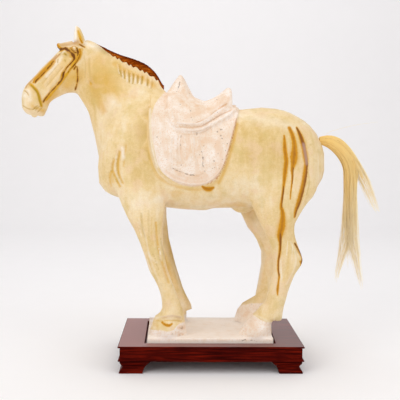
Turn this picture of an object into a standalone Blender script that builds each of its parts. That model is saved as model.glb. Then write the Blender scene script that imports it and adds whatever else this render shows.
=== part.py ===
"""A glazed pottery horse with an unglazed saddle, standing in a hardwood stand.

Metres, +Z up.  The horse faces -X and its left side is towards -Y.  The origin is on
the ground, under the middle of everything.  The horse's free form is written in parts
of its own height; the slab, the stand and every fit between pieces are real sizes.
"""
import math

import bmesh
import bpy
import numpy as np
from mathutils import Vector
from mathutils.bvhtree import BVHTree

MM = 0.001

# Horse: height from the top of its slab to its ear tips
HORSE_HEIGHT = 485 * MM
PARTS_IN_HEIGHT = 485
# The head turns to the left about an upright line through the poll
HEAD_TURN = math.radians(11.0)
POLL_X = -203

# Ground that the four hooves cover, in parts of the height: length and depth
HOOF_SPAN = 201
HOOF_SPREAD = 139

# Pottery slab that the horse stands on, and the recess that holds it
SLAB_END_MARGIN = 1 * MM
SLAB_SIDE_MARGIN = 0.5 * MM
SLAB_THICKNESS = 15 * MM
SLAB_EDGE = 1.5 * MM
SLAB_SINK = 8 * MM
SLAB_CLEARANCE = 1.6 * MM

# Plan of the hand-cut slab, in shares of its half length and half depth
SLAB_OUTLINE = (
    (-0.97, -1.00), (-0.30, -1.01), (0.45, -0.995), (0.945, -1.00), (0.965, -0.90),
    (0.958, -0.52), (0.985, -0.25), (0.97, 0.10), (1.02, 0.98), (0.20, 1.00),
    (-1.00, 0.99), (-0.985, 0.10),
)
# Plan of the straight-sided recess, in the same shares
RECESS_OUTLINE = ((-0.99, -1.01), (0.97, -1.01), (1.02, 1.00), (-1.01, 1.00))

# Hardwood stand, wider than the slab by these margins
STAND_END_MARGIN = 40.5 * MM
STAND_SIDE_MARGIN = 22.5 * MM
STAND_HEIGHT = 42 * MM
TOP_LIP = 2.5 * MM
TOP_EASE = 0.6 * MM
TOP_THICKNESS = 14 * MM
TOP_OVERHANG = 2.9 * MM
APRON_THICKNESS = 12 * MM
APRON_LIP = 2.7 * MM
APRON_LIP_HEIGHT = 4 * MM
FOOT_HEIGHT = 18 * MM
FOOT_THICKNESS = 15 * MM
FOOT_REACH = 47 * MM
FOOT_TOE_REACH = 35 * MM
FOOT_COVE = 4.5 * MM
FOOT_BULGE = 1.2 * MM

# Horsehair mane and tail
MANE_THICKNESS = 7 * MM
MANE_SEAT = 5 * MM
TAIL_ROOT_RADIUS = 4.6 * MM
TAIL_SOCKET_DEPTH = 13 * MM

# Saddle layers, each measured from the horse's back
CLOTH_THICKNESS = 5 * MM
SKIRT_THICKNESS = 9 * MM
SEAT_THICKNESS = 12 * MM
# Parts of the height that a layer reaches into the body below it
LAYER_ROOT = 6

# Air between pieces that touch
TOUCH_GAP = 0.3 * MM

# Fineness of the modelled clay
CLAY_GRAIN = HORSE_HEIGHT / 270
CLAY_SMOOTHING = 4
CLAY_KEPT = 0.0245
HAIR_GRAIN = HORSE_HEIGHT / 285
HAIR_KEPT = 0.055

GLAZE = ("straw_glazed_pottery", (0.74, 0.60, 0.34), 0.28)
ROSEWOOD = ("red_rosewood", (0.11, 0.012, 0.008), 0.38)
BROWN_HAIR = ("brown_horsehair", (0.26, 0.05, 0.008), 0.62)
BLOND_HAIR = ("blond_horsehair", (0.80, 0.54, 0.18), 0.55)

# Trunk sections: x, top z, bottom z, half width, squareness
TRUNK = (
    (-175.5, 294, 233, 33, 2.0),
    (-166.5, 330, 221.5, 45, 2.1),
    (-142, 362, 212, 55, 2.2),
    (-105, 378, 204, 61, 2.2),
    (-60, 374, 197, 64, 2.2),
    (-12, 357, 194, 66, 2.2),
    (5, 355.5, 197.5, 66, 2.2),
    (40, 354, 198.5, 66, 2.2),
    (80, 358, 198, 66, 2.2),
    (112, 355, 200, 64, 2.2),
    (140, 344, 205, 58, 2.2),
    (162, 328, 216, 48, 2.1),
    (176, 304, 239, 31, 2.0),
)
# Neck and head sections: front x, front z, back x, back z, half width, squareness
NECK = (
    (-219, 386, -200, 465, 21, 2.1),
    (-208.5, 369.5, -180, 456, 24, 2.1),
    (-197, 351, -156, 435, 28, 2.0),
    (-190.5, 329, -129, 420, 35, 2.0),
    (-184.5, 305, -104, 408, 43, 2.0),
    (-179.5, 280, -82, 391, 50, 2.1),
    (-170, 250, -60, 366, 53, 2.1),
)
HEAD = (
    (-206, 459, -196, 402, 19, 2.2),
    (-225, 458, -212, 382, 25, 2.4),
    (-242, 445, -230, 380, 26, 2.5),
    (-257.5, 429.5, -244, 373.5, 22.5, 2.6),
    (-270.5, 416.5, -254, 367.5, 19, 2.6),
    (-281.5, 403.5, -259.5, 361.5, 17, 2.5),
    (-290.5, 394.5, -262, 352.5, 17.5, 2.3),
    (-297, 385, -267, 345, 19, 2.2),
    (-301, 373, -276, 343, 18.5, 2.2),
    (-300.5, 361, -287, 344, 13.5, 2.1),
)
# Leg sections: front x, front z, back x, back z, sideways place, half width
FORELEG = (
    (-146, 330, -92, 322, 22, 16),
    (-160, 288, -78, 278, 30, 24),
    (-156, 246, -74, 238, 33, 24.5),
    (-141, 209, -74, 201, 40, 22.5),
    (-129, 182, -76, 176, 45, 18.5),
    (-118.5, 162, -76, 157, 45, 16),
    (-110, 142, -75, 138, 45, 14.5),
    (-102.5, 121, -72, 120, 45, 14),
    (-96, 101, -68, 102, 45, 12.5),
    (-84, 79, -59, 78, 46, 11.5),
    (-77, 57, -50, 57, 46, 12),
    (-77, 38, -43, 37, 46, 14.5),
    (-87, 28, -41, 26, 46, 17.5),
    (-93, 14, -39, 14, 47, 21),
    (-97, 0, -37, 0, 47, 22.5),
    (-96, -5, -39, -5, 47, 21),
)
# The far forefoot stands steeper; these rows take the place of the last ones above
FAR_FORE_FOOT = (
    (-76, 57, -50, 57, 46, 12),
    (-75, 40, -43, 39, 46, 13.5),
    (-79, 28, -41, 27, 46, 15),
    (-85, 14, -40, 14, 46, 18),
    (-89, 0, -39, 0, 46, 19.5),
    (-88, -5, -40, -5, 46, 18.5),
)
HIND_LEG = (
    (80, 325, 156, 315, 22, 20),
    (64, 285, 169, 282, 30, 26),
    (56, 242, 169, 245, 37, 27),
    (60, 222, 163.5, 224, 39.5, 26),
    (65.5, 203, 149, 206, 42, 24),
    (76, 178, 132.5, 180, 44, 20),
    (84, 161, 130, 163, 45, 17),
    (93, 141, 136, 142, 45, 15),
    (97, 121, 144, 120, 45, 13.5),
    (98, 109, 140, 108, 45, 13),
    (97, 97, 132, 96, 45, 12.5),
    (92, 77, 124, 75, 45, 12),
    (88, 57, 119, 57, 45, 12.5),
    (81, 40, 114, 38, 46, 14),
    (72, 31, 113, 22, 46, 15),
)
HIND_HOOF = (
    (82, 50, 104, 34, 46, 11),
    (68, 32, 97, 22, 46, 15),
    (54, 16, 96, 12, 47, 20),
    (44, 0, 96.5, 0, 47, 22.5),
    (44, -5, 95.5, -5, 47, 21),
)
# Heel tuft of the far foreleg, which flares out behind its fetlock
FORE_HEEL = (
    (-80, 82, -54, 80, 46, 9),
    (-74, 63, -47, 63, 46, 11),
    (-70, 44, -38, 43, 46, 12.5),
    (-66, 34, -30.5, 30, 46, 13.5),
    (-64, 21, -27.5, 20, 46, 13.5),
)
# Front of the far thigh, which reaches further forward than the near one
FAR_THIGH = (
    (42, 220, 110, 220, 39, 20),
    (47.5, 200, 112, 200, 41, 20),
    (54.5, 183, 108, 183, 43, 18.5),
    (61, 171, 108, 171, 44, 17.5),
    (66.5, 160, 108, 160, 45, 16),
    (75.5, 149, 110, 149, 45, 14.5),
    (82.5, 136, 112, 136, 45, 13.5),
    (88.5, 122, 114, 122, 45, 12.5),
    (93, 106, 116, 106, 45, 11.5),
)
# The far hind hoof is longer and stands further forward than the near one
FAR_HIND_HOOF = (
    (85, 44, 104, 34, 46, 10.5),
    (62.5, 32, 97, 22, 46, 15),
    (50.5, 18, 96, 12, 47, 20),
    (43, 0, 96.5, 0, 47, 22.5),
    (43, -5, 95.5, -5, 47, 21),
)
# Far legs stand off the near ones along X: shifts at the top, the joint and the foot
FAR_FORE_SHIFT = (-3, 10.5, 1)
FAR_HIND_SHIFT = (-4, -9, 1)
LEG_JOINT = 110
LEG_TOP = 240
STILL = (0, 0, 0)

# Ear sections: x, z, sideways place, radius along, radius across
EAR = (
    (-211, 454, 11, 8.5, 6),
    (-212, 463, 12.5, 8.3, 5.5),
    (-213.5, 471, 13.5, 6.7, 4.4),
    (-215, 478, 14, 4.8, 3),
    (-217, 483, 14, 1.8, 1.4),
)
EAR_FOOT = 463
NEAR_EAR_SHARE = 0.98
# Forelock sections: x, z, sideways place, radius along, radius across
FORELOCK = (
    (-222, 455, 0, 7, 12),
    (-233, 453, 0, 6, 11),
    (-241, 452, 0, 5, 8),
    (-245, 456, 0, 2.6, 4),
)

# Lower edges of the saddle's layers on each flank, from front to back: x, z
CLOTH_EDGE = (
    (-96, 340), (-95, 322), (-91, 298), (-83, 268), (-73, 252), (-60, 243), (-45, 237), (-28, 235),
    (-12, 238), (2, 245), (12, 258), (19, 276), (27, 305), (35, 332), (41, 351), (43, 358),
)
SKIRT_EDGE = (
    (-70, 352), (-66, 338), (-60, 328), (-40, 321), (-20, 321), (-3, 327), (16, 337), (30, 347), (39, 356),
)
SEAT_EDGE = (
    (-62, 350), (-57, 338), (-48, 331), (-30, 328), (-12, 331), (3, 341), (18, 351), (31, 362),
)
# Pommel, seat and cantle: x, top z, half width, squareness
SADDLE_RIDGE = (
    (-74, 372, 30, 2.0),
    (-66, 390, 31, 1.8),
    (-58, 402, 31, 1.6),
    (-50, 411, 31, 1.45),
    (-43, 403, 32, 1.6),
    (-36, 389, 34, 1.8),
    (-28, 376, 37, 2.0),
    (-16, 369, 41, 2.1),
    (-4, 371, 43, 2.1),
    (8, 377, 43, 2.0),
    (19, 386, 41, 1.9),
    (27, 391, 38, 1.8),
    (32, 388, 35, 1.8),
)
SADDLE_RIDGE_LOW = 318

# Mane: x, upper edge z, lower edge z and share of the full thickness along the crest
MANE = (
    (-188, 460, 457.5, 0.35),
    (-168, 449, 442.5, 0.7),
    (-147, 440, 430, 0.9),
    (-124, 433, 416, 1.0),
    (-106, 425.5, 408, 1.0),
    (-94, 416, 400, 0.9),
    (-86, 406, 393, 0.75),
    (-78, 392, 386, 0.5),
)
# Tail bundle: outer x, outer z, inner x, inner z, half width
TAIL = (
    (187, 318, 187, 303, 7),
    (201, 313, 196, 292, 9),
    (218, 301, 207, 277, 11),
    (233, 282, 214, 257, 12),
    (241, 258, 217, 236, 12),
    (239, 228, 217, 211, 12),
    (238, 187, 216, 182, 11),
    (240, 150, 214, 150, 9),
    (241, 128, 213, 126, 7),
)
TAIL_MOUTH = (180, 310.5)
# Locks that part from the bundle: x, z, radius
TAIL_LOCKS = (
    ((225, 200, 7), (223, 160, 8), (219, 125, 6.5), (214, 96, 4.2), (209, 71, 1.5)),
    ((229, 200, 8), (232, 155, 8), (238, 118, 6.5), (244, 92, 4), (250, 66, 1.4)),
    ((214, 288, 6), (230, 275, 8), (244, 252, 7), (257, 226, 4.5), (272, 195, 1.3)),
)

# Harness on the head in side view; each band goes round in the plane of two points
NOSEBAND = ((-286, 399), (-263, 360))
BROWBAND = ((-238, 448), (-204, 424))
CHEEK_STRAP = ((-214, 436), (-219, 427), (-227, 417), (-236, 406), (-240, 396), (-252, 382), (-266, 368))
THROAT_LASH = ((-216, 419), (-216, 410), (-215, 400), (-217, 389))
# Half width and rise of the bands of clay, in parts of the height
STRAP = (2.2, 1.6)
LASH = (1.8, 1.5)
BAND = (2.0, 1.6)
FLUTE = (2.0, 1.5)
FOLD = (3.0, 1.8)
BAND_SINK = 2
# How far off the middle a line of sight starts, to lie clear of the flanks and of the head
CLEAR_OF_FLANKS = 150
CLEAR_OF_HEAD = 60
# Centres and radii of swellings on each side of the head, of the lip and chin, and under the belly
CHEEK = ((-229, 12, 402), (19, 13, 19))
EYE = ((-234, 21, 438), (6, 5.5, 4.5))
KNOB = ((-220, 20, 446), (4.2, 5.5, 3.8))
NOSTRIL = ((-294, 11.5, 379), (4.5, 4.5, 5))
LIP = ((-282, 0, 345), (5, 7, 6))
CHIN = ((-271.5, 0, 348), (7, 9, 7))
SHEATH = ((53, 0, 200), (18, 13, 11))
# Flutes under the mane: how many, the first one's x and top z, and the step to the next
NECK_FLUTES = 7
FLUTE_START = (-152, 426)
FLUTE_STEP = (6.5, -3.6)
CHEST_FOLDS = (((-144, 284), (-145, 251), (-138, 232)), ((-156, 274), (-154, 254), (-146, 230)))


def part(value):
    """A length given in parts of the horse's height, in metres."""
    return value * HORSE_HEIGHT / PARTS_IN_HEIGHT


def clear_scene():
    """Start from an empty scene."""
    for old in list(bpy.data.objects):
        bpy.data.objects.remove(old, do_unlink=True)


def material(finish):
    """Principled material of one finish: name, colour and roughness."""
    name, colour, roughness = finish
    made = bpy.data.materials.get(name) or bpy.data.materials.new(name)
    made.use_nodes = True
    shader = made.node_tree.nodes["Principled BSDF"]
    shader.inputs["Base Color"].default_value = (*colour, 1.0)
    shader.inputs["Roughness"].default_value = roughness
    shader.inputs["Metallic"].default_value = 0.0
    return made


def add_object(name, mesh, parent, finish=None):
    """Object in the scene, under its parent, with its material."""
    made = bpy.data.objects.new(name, mesh)
    bpy.context.scene.collection.objects.link(made)
    made.parent = parent
    if finish:
        mesh.materials.append(material(finish))
    return made


def guide(made):
    """Keep an object as a helper for modifiers, outside the model."""
    made.hide_render = True
    made.display_type = "WIRE"
    return made


def mesh_from_rings(name, groups):
    """One mesh of closed tubes, each a list of rings with the same count of points."""
    build = bmesh.new()
    for rings in groups:
        loops = [[build.verts.new(point) for point in ring] for ring in rings]
        for low, high in zip(loops, loops[1:]):
            for i in range(len(low)):
                j = (i + 1) % len(low)
                build.faces.new((low[i], low[j], high[j], high[i]))
        build.faces.new(loops[0][::-1])
        build.faces.new(loops[-1])
    bmesh.ops.recalc_face_normals(build, faces=build.faces)
    mesh = bpy.data.meshes.new(name)
    build.to_mesh(mesh)
    build.free()
    return mesh


def smooth_rows(rows, steps):
    """Rows in between the given ones, on a smooth curve through them."""
    table = np.array(rows, dtype=float)
    padded = np.vstack((2 * table[0] - table[1], table, 2 * table[-1] - table[-2]))
    made = []
    for i in range(len(table) - 1):
        before, start, end, after = padded[i:i + 4]
        for t in np.arange(steps) / steps:
            made.append(0.5 * (
                2 * start + (end - before) * t
                + (2 * before - 5 * start + 4 * end - after) * t ** 2
                + (3 * start - before - 3 * end + after) * t ** 3))
    made.append(table[-1])
    return np.array(made)


def section(front, back, side, half_width, squareness, sides):
    """Closed section between a front and a back point, as a superellipse."""
    angles = np.arange(sides) * 2 * math.pi / sides
    power = 2 / squareness
    along = np.sign(np.cos(angles)) * np.abs(np.cos(angles)) ** power
    across = np.sign(np.sin(angles)) * np.abs(np.sin(angles)) ** power
    front, back = np.array(front), np.array(back)
    middle, reach = (front + back) / 2, (front - back) / 2
    points = np.empty((sides, 3))
    points[:, 0] = middle[0] + reach[0] * along
    points[:, 1] = side + half_width * across
    points[:, 2] = middle[1] + reach[1] * along
    return points


def domed(rings, first, last, steps=4):
    """Rings closed by a dome of the given height at each end."""
    made = list(rings)
    for height, at_start in ((first, True), (last, False)):
        end, inner = (made[0], made[1]) if at_start else (made[-1], made[-2])
        middle = end.mean(axis=0)
        away = middle - inner.mean(axis=0)
        away /= np.linalg.norm(away)
        for k in range(1, steps + 1):
            angle = k * math.pi / 2 / (steps + 0.35)
            ring = middle + (end - middle) * math.cos(angle) + away * height * math.sin(angle)
            made.insert(0, ring) if at_start else made.append(ring)
    return made


def trunk_rings(extra, steps, sides):
    """Sections of the trunk, grown outwards by some parts of the height."""
    rings = []
    for x, top, low, half, square in smooth_rows(TRUNK, steps):
        ring = section((x, top + extra), (x, low - extra), 0, half + extra, square, sides)
        rings.append(ring * part(1))
    return domed(rings, part(7), part(6))


def neck_rings(steps, sides):
    """Sections of the neck, narrower at the crest than at the throat."""
    rings = []
    for fx, fz, bx, bz, half, square in smooth_rows(NECK, steps):
        ring = section((fx, fz), (bx, bz), 0, half, square, sides)
        share = np.linspace(0, 2 * math.pi, sides, endpoint=False)
        ring[:, 1] *= 0.86 + 0.20 * np.cos(share)
        rings.append(ring * part(1))
    return domed(rings, part(4), part(6))


def turn_head(points):
    """Points of the head, turned about the poll towards the left side."""
    pivot = part(POLL_X)
    out = points.copy()
    reach = points[:, 0] - pivot
    out[:, 0] = pivot + reach * math.cos(HEAD_TURN) - points[:, 1] * math.sin(HEAD_TURN)
    out[:, 1] = reach * math.sin(HEAD_TURN) + points[:, 1] * math.cos(HEAD_TURN)
    return out


def head_rings(steps, sides):
    """Sections of the head, from the poll to the lips."""
    rings = []
    for fx, fz, bx, bz, half, square in smooth_rows(HEAD, steps):
        ring = section((fx, fz), (bx, bz), 0, half, square, sides)
        rings.append(turn_head(ring * part(1)))
    return domed(rings, part(3), part(5))


def stalk_rings(rows, side, steps, sides):
    """Sections of an upright or forward stalk such as an ear or the forelock."""
    table = smooth_rows(rows, steps)
    rings = []
    for i, (x, z, across, along_radius, across_radius) in enumerate(table):
        after, before = table[min(i + 1, len(table) - 1)], table[max(i - 1, 0)]
        heading = after[:2] - before[:2]
        heading /= np.linalg.norm(heading)
        normal = np.array((heading[1], -heading[0])) * along_radius
        ring = section((x + normal[0], z + normal[1]), (x - normal[0], z - normal[1]),
                       side * across, across_radius, 2.0, sides)
        rings.append(turn_head(ring * part(1)))
    return domed(rings, part(1), part(1), 2)


def ear_rows(side):
    """Sections of one ear; the near one stands lower than the far one."""
    share = NEAR_EAR_SHARE if side < 0 else 1.0
    return [(x, EAR_FOOT + (z - EAR_FOOT) * share, *rest) for x, z, *rest in EAR]


def leg_rings(rows, side, shifts, steps, sides):
    """Sections of a leg; shifts move its top, its middle joint and its foot along X."""
    heights = (part(0), part(LEG_JOINT), part(LEG_TOP))
    rings = []
    for fx, fz, bx, bz, across, half in smooth_rows(rows, steps):
        ring = section((fx, fz), (bx, bz), side * across, half, 2.15, sides) * part(1)
        shift = np.interp(ring[:, 2], heights, [part(value) for value in shifts[::-1]])
        ring[:, 0] += shift
        rings.append(ring)
    return rings


def ball_rings(centre, radii, steps=8, sides=16):
    """Rings of an ellipsoid, for a swelling of the clay."""
    rings = []
    for k in range(1, steps):
        angle = math.pi * k / steps
        ring = section((math.sin(angle) * radii[0], 0), (-math.sin(angle) * radii[0], 0), 0,
                       math.sin(angle) * radii[1], 2.0, sides)
        ring[:, 2] = -math.cos(angle) * radii[2]
        rings.append((ring + np.array(centre)) * part(1))
    return rings


def body_rings():
    """The bare horse: overlapping tubes for its trunk, neck, head, ears and legs."""
    groups = [trunk_rings(0, 4, 48), neck_rings(5, 40), head_rings(5, 36)]
    for side, fore_shift, hind_shift in ((-1, STILL, STILL), (1, FAR_FORE_SHIFT, FAR_HIND_SHIFT)):
        fore_rows = FORELEG if side < 0 else (*FORELEG[:-len(FAR_FORE_FOOT)], *FAR_FORE_FOOT)
        groups.append(leg_rings(fore_rows, side, fore_shift, 4, 24))
        groups.append(leg_rings(HIND_LEG, side, hind_shift, 4, 24))
        hoof_rows = HIND_HOOF if side < 0 else FAR_HIND_HOOF
        groups.append(leg_rings(hoof_rows, side, hind_shift, 4, 24))
        groups.append(stalk_rings(ear_rows(side), side, 3, 12))
        for (x, y, z), radii in (CHEEK, EYE, KNOB, NOSTRIL):
            groups.append([turn_head(ring) for ring in ball_rings((x, side * y, z), radii)])
    groups.append(leg_rings(FORE_HEEL, 1, STILL, 2, 20))
    groups.append(leg_rings(FAR_THIGH, 1, STILL, 2, 24))
    groups.append(stalk_rings(FORELOCK, 1, 3, 12))
    for lump in (LIP, CHIN):
        groups.append([turn_head(ring) for ring in ball_rings(*lump)])
    groups.append(ball_rings(*SHEATH))
    return groups


def combine(target, other, operation):
    """Exact boolean of two objects, kept as a modifier on the first."""
    step = target.modifiers.new(other.name, "BOOLEAN")
    step.operation = operation
    step.object = other
    return step


def arch_rings(edge, grow, points):
    """Sections of a layer over the back, grown from the trunk and ending at its lower edge."""
    table = smooth_rows(TRUNK, 6)
    rings = []
    for x, low_z in smooth_rows(edge, 2):
        top, low, half, square = (np.interp(x, table[:, 0], table[:, k]) for k in range(1, 5))
        middle, reach = (top + low) / 2, (top - low) / 2
        share = np.clip((low_z - middle) / (reach + grow), -1, 1)
        last = math.acos(math.copysign(abs(share) ** (square / 2), share))
        angles = np.linspace(-last, last, points)
        ring = []
        for extra, sweep in ((grow, angles), (-LAYER_ROOT, angles[::-1])):
            for angle in sweep:
                up = math.copysign(abs(math.cos(angle)) ** (2 / square), math.cos(angle))
                out = math.copysign(abs(math.sin(angle)) ** (2 / square), math.sin(angle))
                ring.append((x, (half + extra) * out, middle + (reach + extra) * up))
        rings.append(np.array(ring) * part(1))
    return rings


def saddle_rings():
    """Saddle cloth, skirt and seat over the back, and the pommel and cantle on them."""
    groups = [
        arch_rings(CLOTH_EDGE, CLOTH_THICKNESS / part(1), 37),
        arch_rings(SKIRT_EDGE, SKIRT_THICKNESS / part(1), 25),
        arch_rings(SEAT_EDGE, SEAT_THICKNESS / part(1), 25),
    ]
    ridge = []
    for x, top, half, square in smooth_rows(SADDLE_RIDGE, 3):
        ring = section((x, top), (x, SADDLE_RIDGE_LOW), 0, half, square, 28)
        ridge.append(ring * part(1))
    return [*groups, ridge]


def surface_from_side(surface, x, z, side):
    """Point and outward direction of the horse's surface, looked at from one side."""
    start = Vector((x, side * part(CLEAR_OF_FLANKS), z))
    hit, normal, _, _ = surface.ray_cast(start, Vector((0, -side, 0)))
    return np.array(hit), np.array(normal)


def ribbon_rings(places, size):
    """Rings of a low band of a given half width and rise, along places on the surface."""
    half_width, rise = (part(value) for value in size)
    sink = part(BAND_SINK)
    points = np.array([place for place, _ in places])
    rings = []
    for i, (place, normal) in enumerate(places):
        heading = points[min(i + 1, len(points) - 1)] - points[max(i - 1, 0)]
        across = np.cross(heading, normal)
        across /= np.linalg.norm(across)
        profile = ((-1.0, -sink), (-0.75, rise * 0.8), (0.0, rise), (0.75, rise * 0.8), (1.0, -sink))
        rings.append([place + across * half_width * a + normal * up for a, up in profile])
    return rings


def laid_places(surface, outline, side, steps):
    """Places on the surface along a line that is given in side view."""
    places = []
    for x, z in smooth_rows(outline, steps) * part(1):
        places.append(surface_from_side(surface, x, z, side))
    return places


def wrapped_places(surface, front, back, sweep, steps):
    """Places on the surface round the head, in the plane of a front and a back point."""
    front, back = (turn_head(np.array([(x, 0.0, z)]) * part(1))[0] for x, z in (front, back))
    middle = (front + back) / 2
    ahead = (front - back) / np.linalg.norm(front - back)
    aside = turn_head(np.array([(0.0, 1.0, 0.0)]))[0] - turn_head(np.zeros((1, 3)))[0]
    places = []
    for angle in np.linspace(-sweep, sweep, steps):
        away = ahead * math.cos(angle) + aside * math.sin(angle)
        hit, normal, _, _ = surface.ray_cast(Vector(middle + away * part(CLEAR_OF_HEAD)), Vector(-away))
        places.append((np.array(hit), np.array(normal)))
    return places


def head_line(outline, side):
    """A line on the head in side view, moved to where the turned head holds it."""
    turned = []
    for x, z in outline:
        point = turn_head(np.array([(part(x), side * part(22), part(z))]))[0]
        turned.append((point[0] / part(1), point[2] / part(1)))
    return turned


def relief_rings(surface):
    """Harness straps, chest folds and neck flutes that lie on the body's surface."""
    groups = []
    for side in (-1, 1):
        strap = laid_places(surface, head_line(CHEEK_STRAP, side), side, 3)
        groups.append(ribbon_rings(strap, STRAP))
        lash = laid_places(surface, head_line(THROAT_LASH, side), side, 3)
        groups.append(ribbon_rings(lash, LASH))
        for k in range(NECK_FLUTES):
            x = FLUTE_START[0] + k * FLUTE_STEP[0]
            crest = FLUTE_START[1] + k * FLUTE_STEP[1]
            flute = ((x, crest), (x + 1.5, crest - 8), (x + 1, crest - 16))
            groups.append(ribbon_rings(laid_places(surface, flute, side, 2), FLUTE))
        for fold in CHEST_FOLDS:
            groups.append(ribbon_rings(laid_places(surface, fold, side, 3), FOLD))
    bands = ((NOSEBAND, math.radians(178), 33), (BROWBAND, math.radians(80), 15))
    for (front, back), sweep, steps in bands:
        band = wrapped_places(surface, front, back, sweep, steps)
        groups.append(ribbon_rings(band, BAND))
    return groups


def model_horse(parent):
    """The horse with harness and saddle, run together into one form of clay."""
    body = body_rings()
    bare = bmesh.new()
    bare.from_mesh(mesh_from_rings("bare", body))
    surface = BVHTree.FromBMesh(bare)
    bare.free()
    mesh = mesh_from_rings("horse", [*body, *relief_rings(surface), *saddle_rings()])
    horse = add_object("horse", mesh, parent, GLAZE)
    remesh = horse.modifiers.new("one_form", "REMESH")
    remesh.mode = "VOXEL"
    remesh.voxel_size = CLAY_GRAIN
    soften = horse.modifiers.new("soften", "SMOOTH")
    soften.factor = 0.5
    soften.iterations = CLAY_SMOOTHING
    thin = horse.modifiers.new("thin_out", "DECIMATE")
    thin.ratio = CLAY_KEPT
    return horse


def slab_size():
    """Length and depth of the slab, which just takes the four hooves."""
    return part(HOOF_SPAN) + 2 * SLAB_END_MARGIN, part(HOOF_SPREAD) + 2 * SLAB_SIDE_MARGIN


def slab_outline(shares, grow):
    """Plan of the slab or its recess from shares of its half size, grown outwards on every side."""
    half_x, half_y = (size / 2 for size in slab_size())
    points = []
    for x, y in shares:
        out_x = grow if abs(x) > 0.9 else 0
        out_y = grow if abs(y) > 0.9 else 0
        points.append((x * half_x + math.copysign(out_x, x), y * half_y + math.copysign(out_y, y)))
    return points


def block_from_plan(plans):
    """Rings of a block from plans at rising heights: (height, points)."""
    return [[(x, y, z) for x, y in points] for z, points in plans]


def add_slab(horse, parent):
    """The pottery slab that the hooves run into; its top is at z 0 here."""
    plans = (
        (-SLAB_THICKNESS, slab_outline(SLAB_OUTLINE, 0)),
        (-SLAB_EDGE, slab_outline(SLAB_OUTLINE, 0)),
        (0.0, slab_outline(SLAB_OUTLINE, -SLAB_EDGE)),
    )
    slab = guide(add_object("slab", mesh_from_rings("slab", [block_from_plan(plans)]), parent))
    combine(horse, slab, "UNION")


def mane_rings(rows, extra, raise_top, steps):
    """Sections of the mane, from its seat in the groove up to its free edge."""
    rings = []
    for *place, share in smooth_rows(rows, steps):
        half = share * MANE_THICKNESS / 2 + extra
        x, top, low = (part(value) for value in place)
        seat = low - MANE_SEAT - extra
        edge = top + raise_top
        shoulder = low + (edge - low) * 0.5
        rings.append([
            (x, -half * 0.7, seat), (x, half * 0.7, seat), (x, half, low),
            (x, half * 0.8, shoulder), (x, half * 0.3, edge), (x, -half * 0.3, edge),
            (x, -half * 0.8, shoulder), (x, -half, low),
        ])
    return rings


def add_mane(horse, parent):
    """The horsehair mane, and the groove along the crest that holds it."""
    rings = mane_rings(MANE, 0, 0, 4)
    add_object("mane", mesh_from_rings("mane", [rings]), parent, BROWN_HAIR)
    air = 2 * TOUCH_GAP
    cut = [np.array(ring) for ring in mane_rings(MANE, air, part(12), 4)]
    cut = [cut[0] - (air, 0, 0), *cut, cut[-1] + (air, 0, 0)]
    groove = guide(add_object("crest_groove", mesh_from_rings("crest_groove", [cut]), parent))
    combine(horse, groove, "DIFFERENCE")


def tube_rings(rows, sides):
    """Rings of a round tube: x, z and radius at each point, in the middle plane."""
    rings = []
    for i, (x, z, radius) in enumerate(rows):
        after, before = rows[min(i + 1, len(rows) - 1)], rows[max(i - 1, 0)]
        heading = np.array((after[0] - before[0], after[1] - before[1]))
        heading /= np.linalg.norm(heading)
        normal = np.array((-heading[1], heading[0])) * radius
        rings.append(section((x + normal[0], z + normal[1]), (x - normal[0], z - normal[1]),
                             0, radius, 2.0, sides))
    return rings


def add_tail(horse, parent):
    """The horsehair tail with its locks, and the socket in the rump that holds its root."""
    root_radius = TAIL_ROOT_RADIUS / part(1)
    depth = TAIL_SOCKET_DEPTH / part(1)
    mouth_x, mouth_z = TAIL_MOUTH
    inner = (mouth_x - depth, mouth_z - 2)
    root = ((*inner, root_radius), (mouth_x + 3, mouth_z, root_radius))
    rings = tube_rings(root, 20)
    for ox, oz, ix, iz, half in smooth_rows(TAIL, 4):
        rings.append(section((ox, oz), (ix, iz), 0, half, 2.0, 20))
    groups = [rings]
    for lock in TAIL_LOCKS:
        groups.append(tube_rings(smooth_rows(lock, 4), 14))
    scaled = [[np.array(ring) * part(1) for ring in group] for group in groups]
    tail = add_object("tail", mesh_from_rings("tail", scaled), parent, BLOND_HAIR)
    remesh = tail.modifiers.new("one_bundle", "REMESH")
    remesh.mode = "VOXEL"
    remesh.voxel_size = HAIR_GRAIN
    thin = tail.modifiers.new("thin_out", "DECIMATE")
    thin.ratio = HAIR_KEPT
    air = 2 * TOUCH_GAP / part(1)
    bore = ((inner[0] - air, inner[1], root_radius + air), (mouth_x + 14, mouth_z + 1.6, root_radius + air))
    cutter_rings = [ring * part(1) for ring in tube_rings(bore, 20)]
    socket = guide(add_object("tail_socket", mesh_from_rings("tail_socket", [cutter_rings]), parent))
    combine(horse, socket, "DIFFERENCE")


def build_horse(parent):
    """The pottery horse with everything fired to it, its mane and its tail."""
    horse = model_horse(parent)
    add_slab(horse, parent)
    add_mane(horse, parent)
    add_tail(horse, parent)


def stand_half_size():
    """Half the length and half the depth of the stand's top."""
    length, depth = slab_size()
    return length / 2 + STAND_END_MARGIN, depth / 2 + STAND_SIDE_MARGIN


def rectangle(half_x, half_y):
    """Four corners of a rectangle in plan."""
    return [(-half_x, -half_y), (half_x, -half_y), (half_x, half_y), (-half_x, half_y)]


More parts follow.
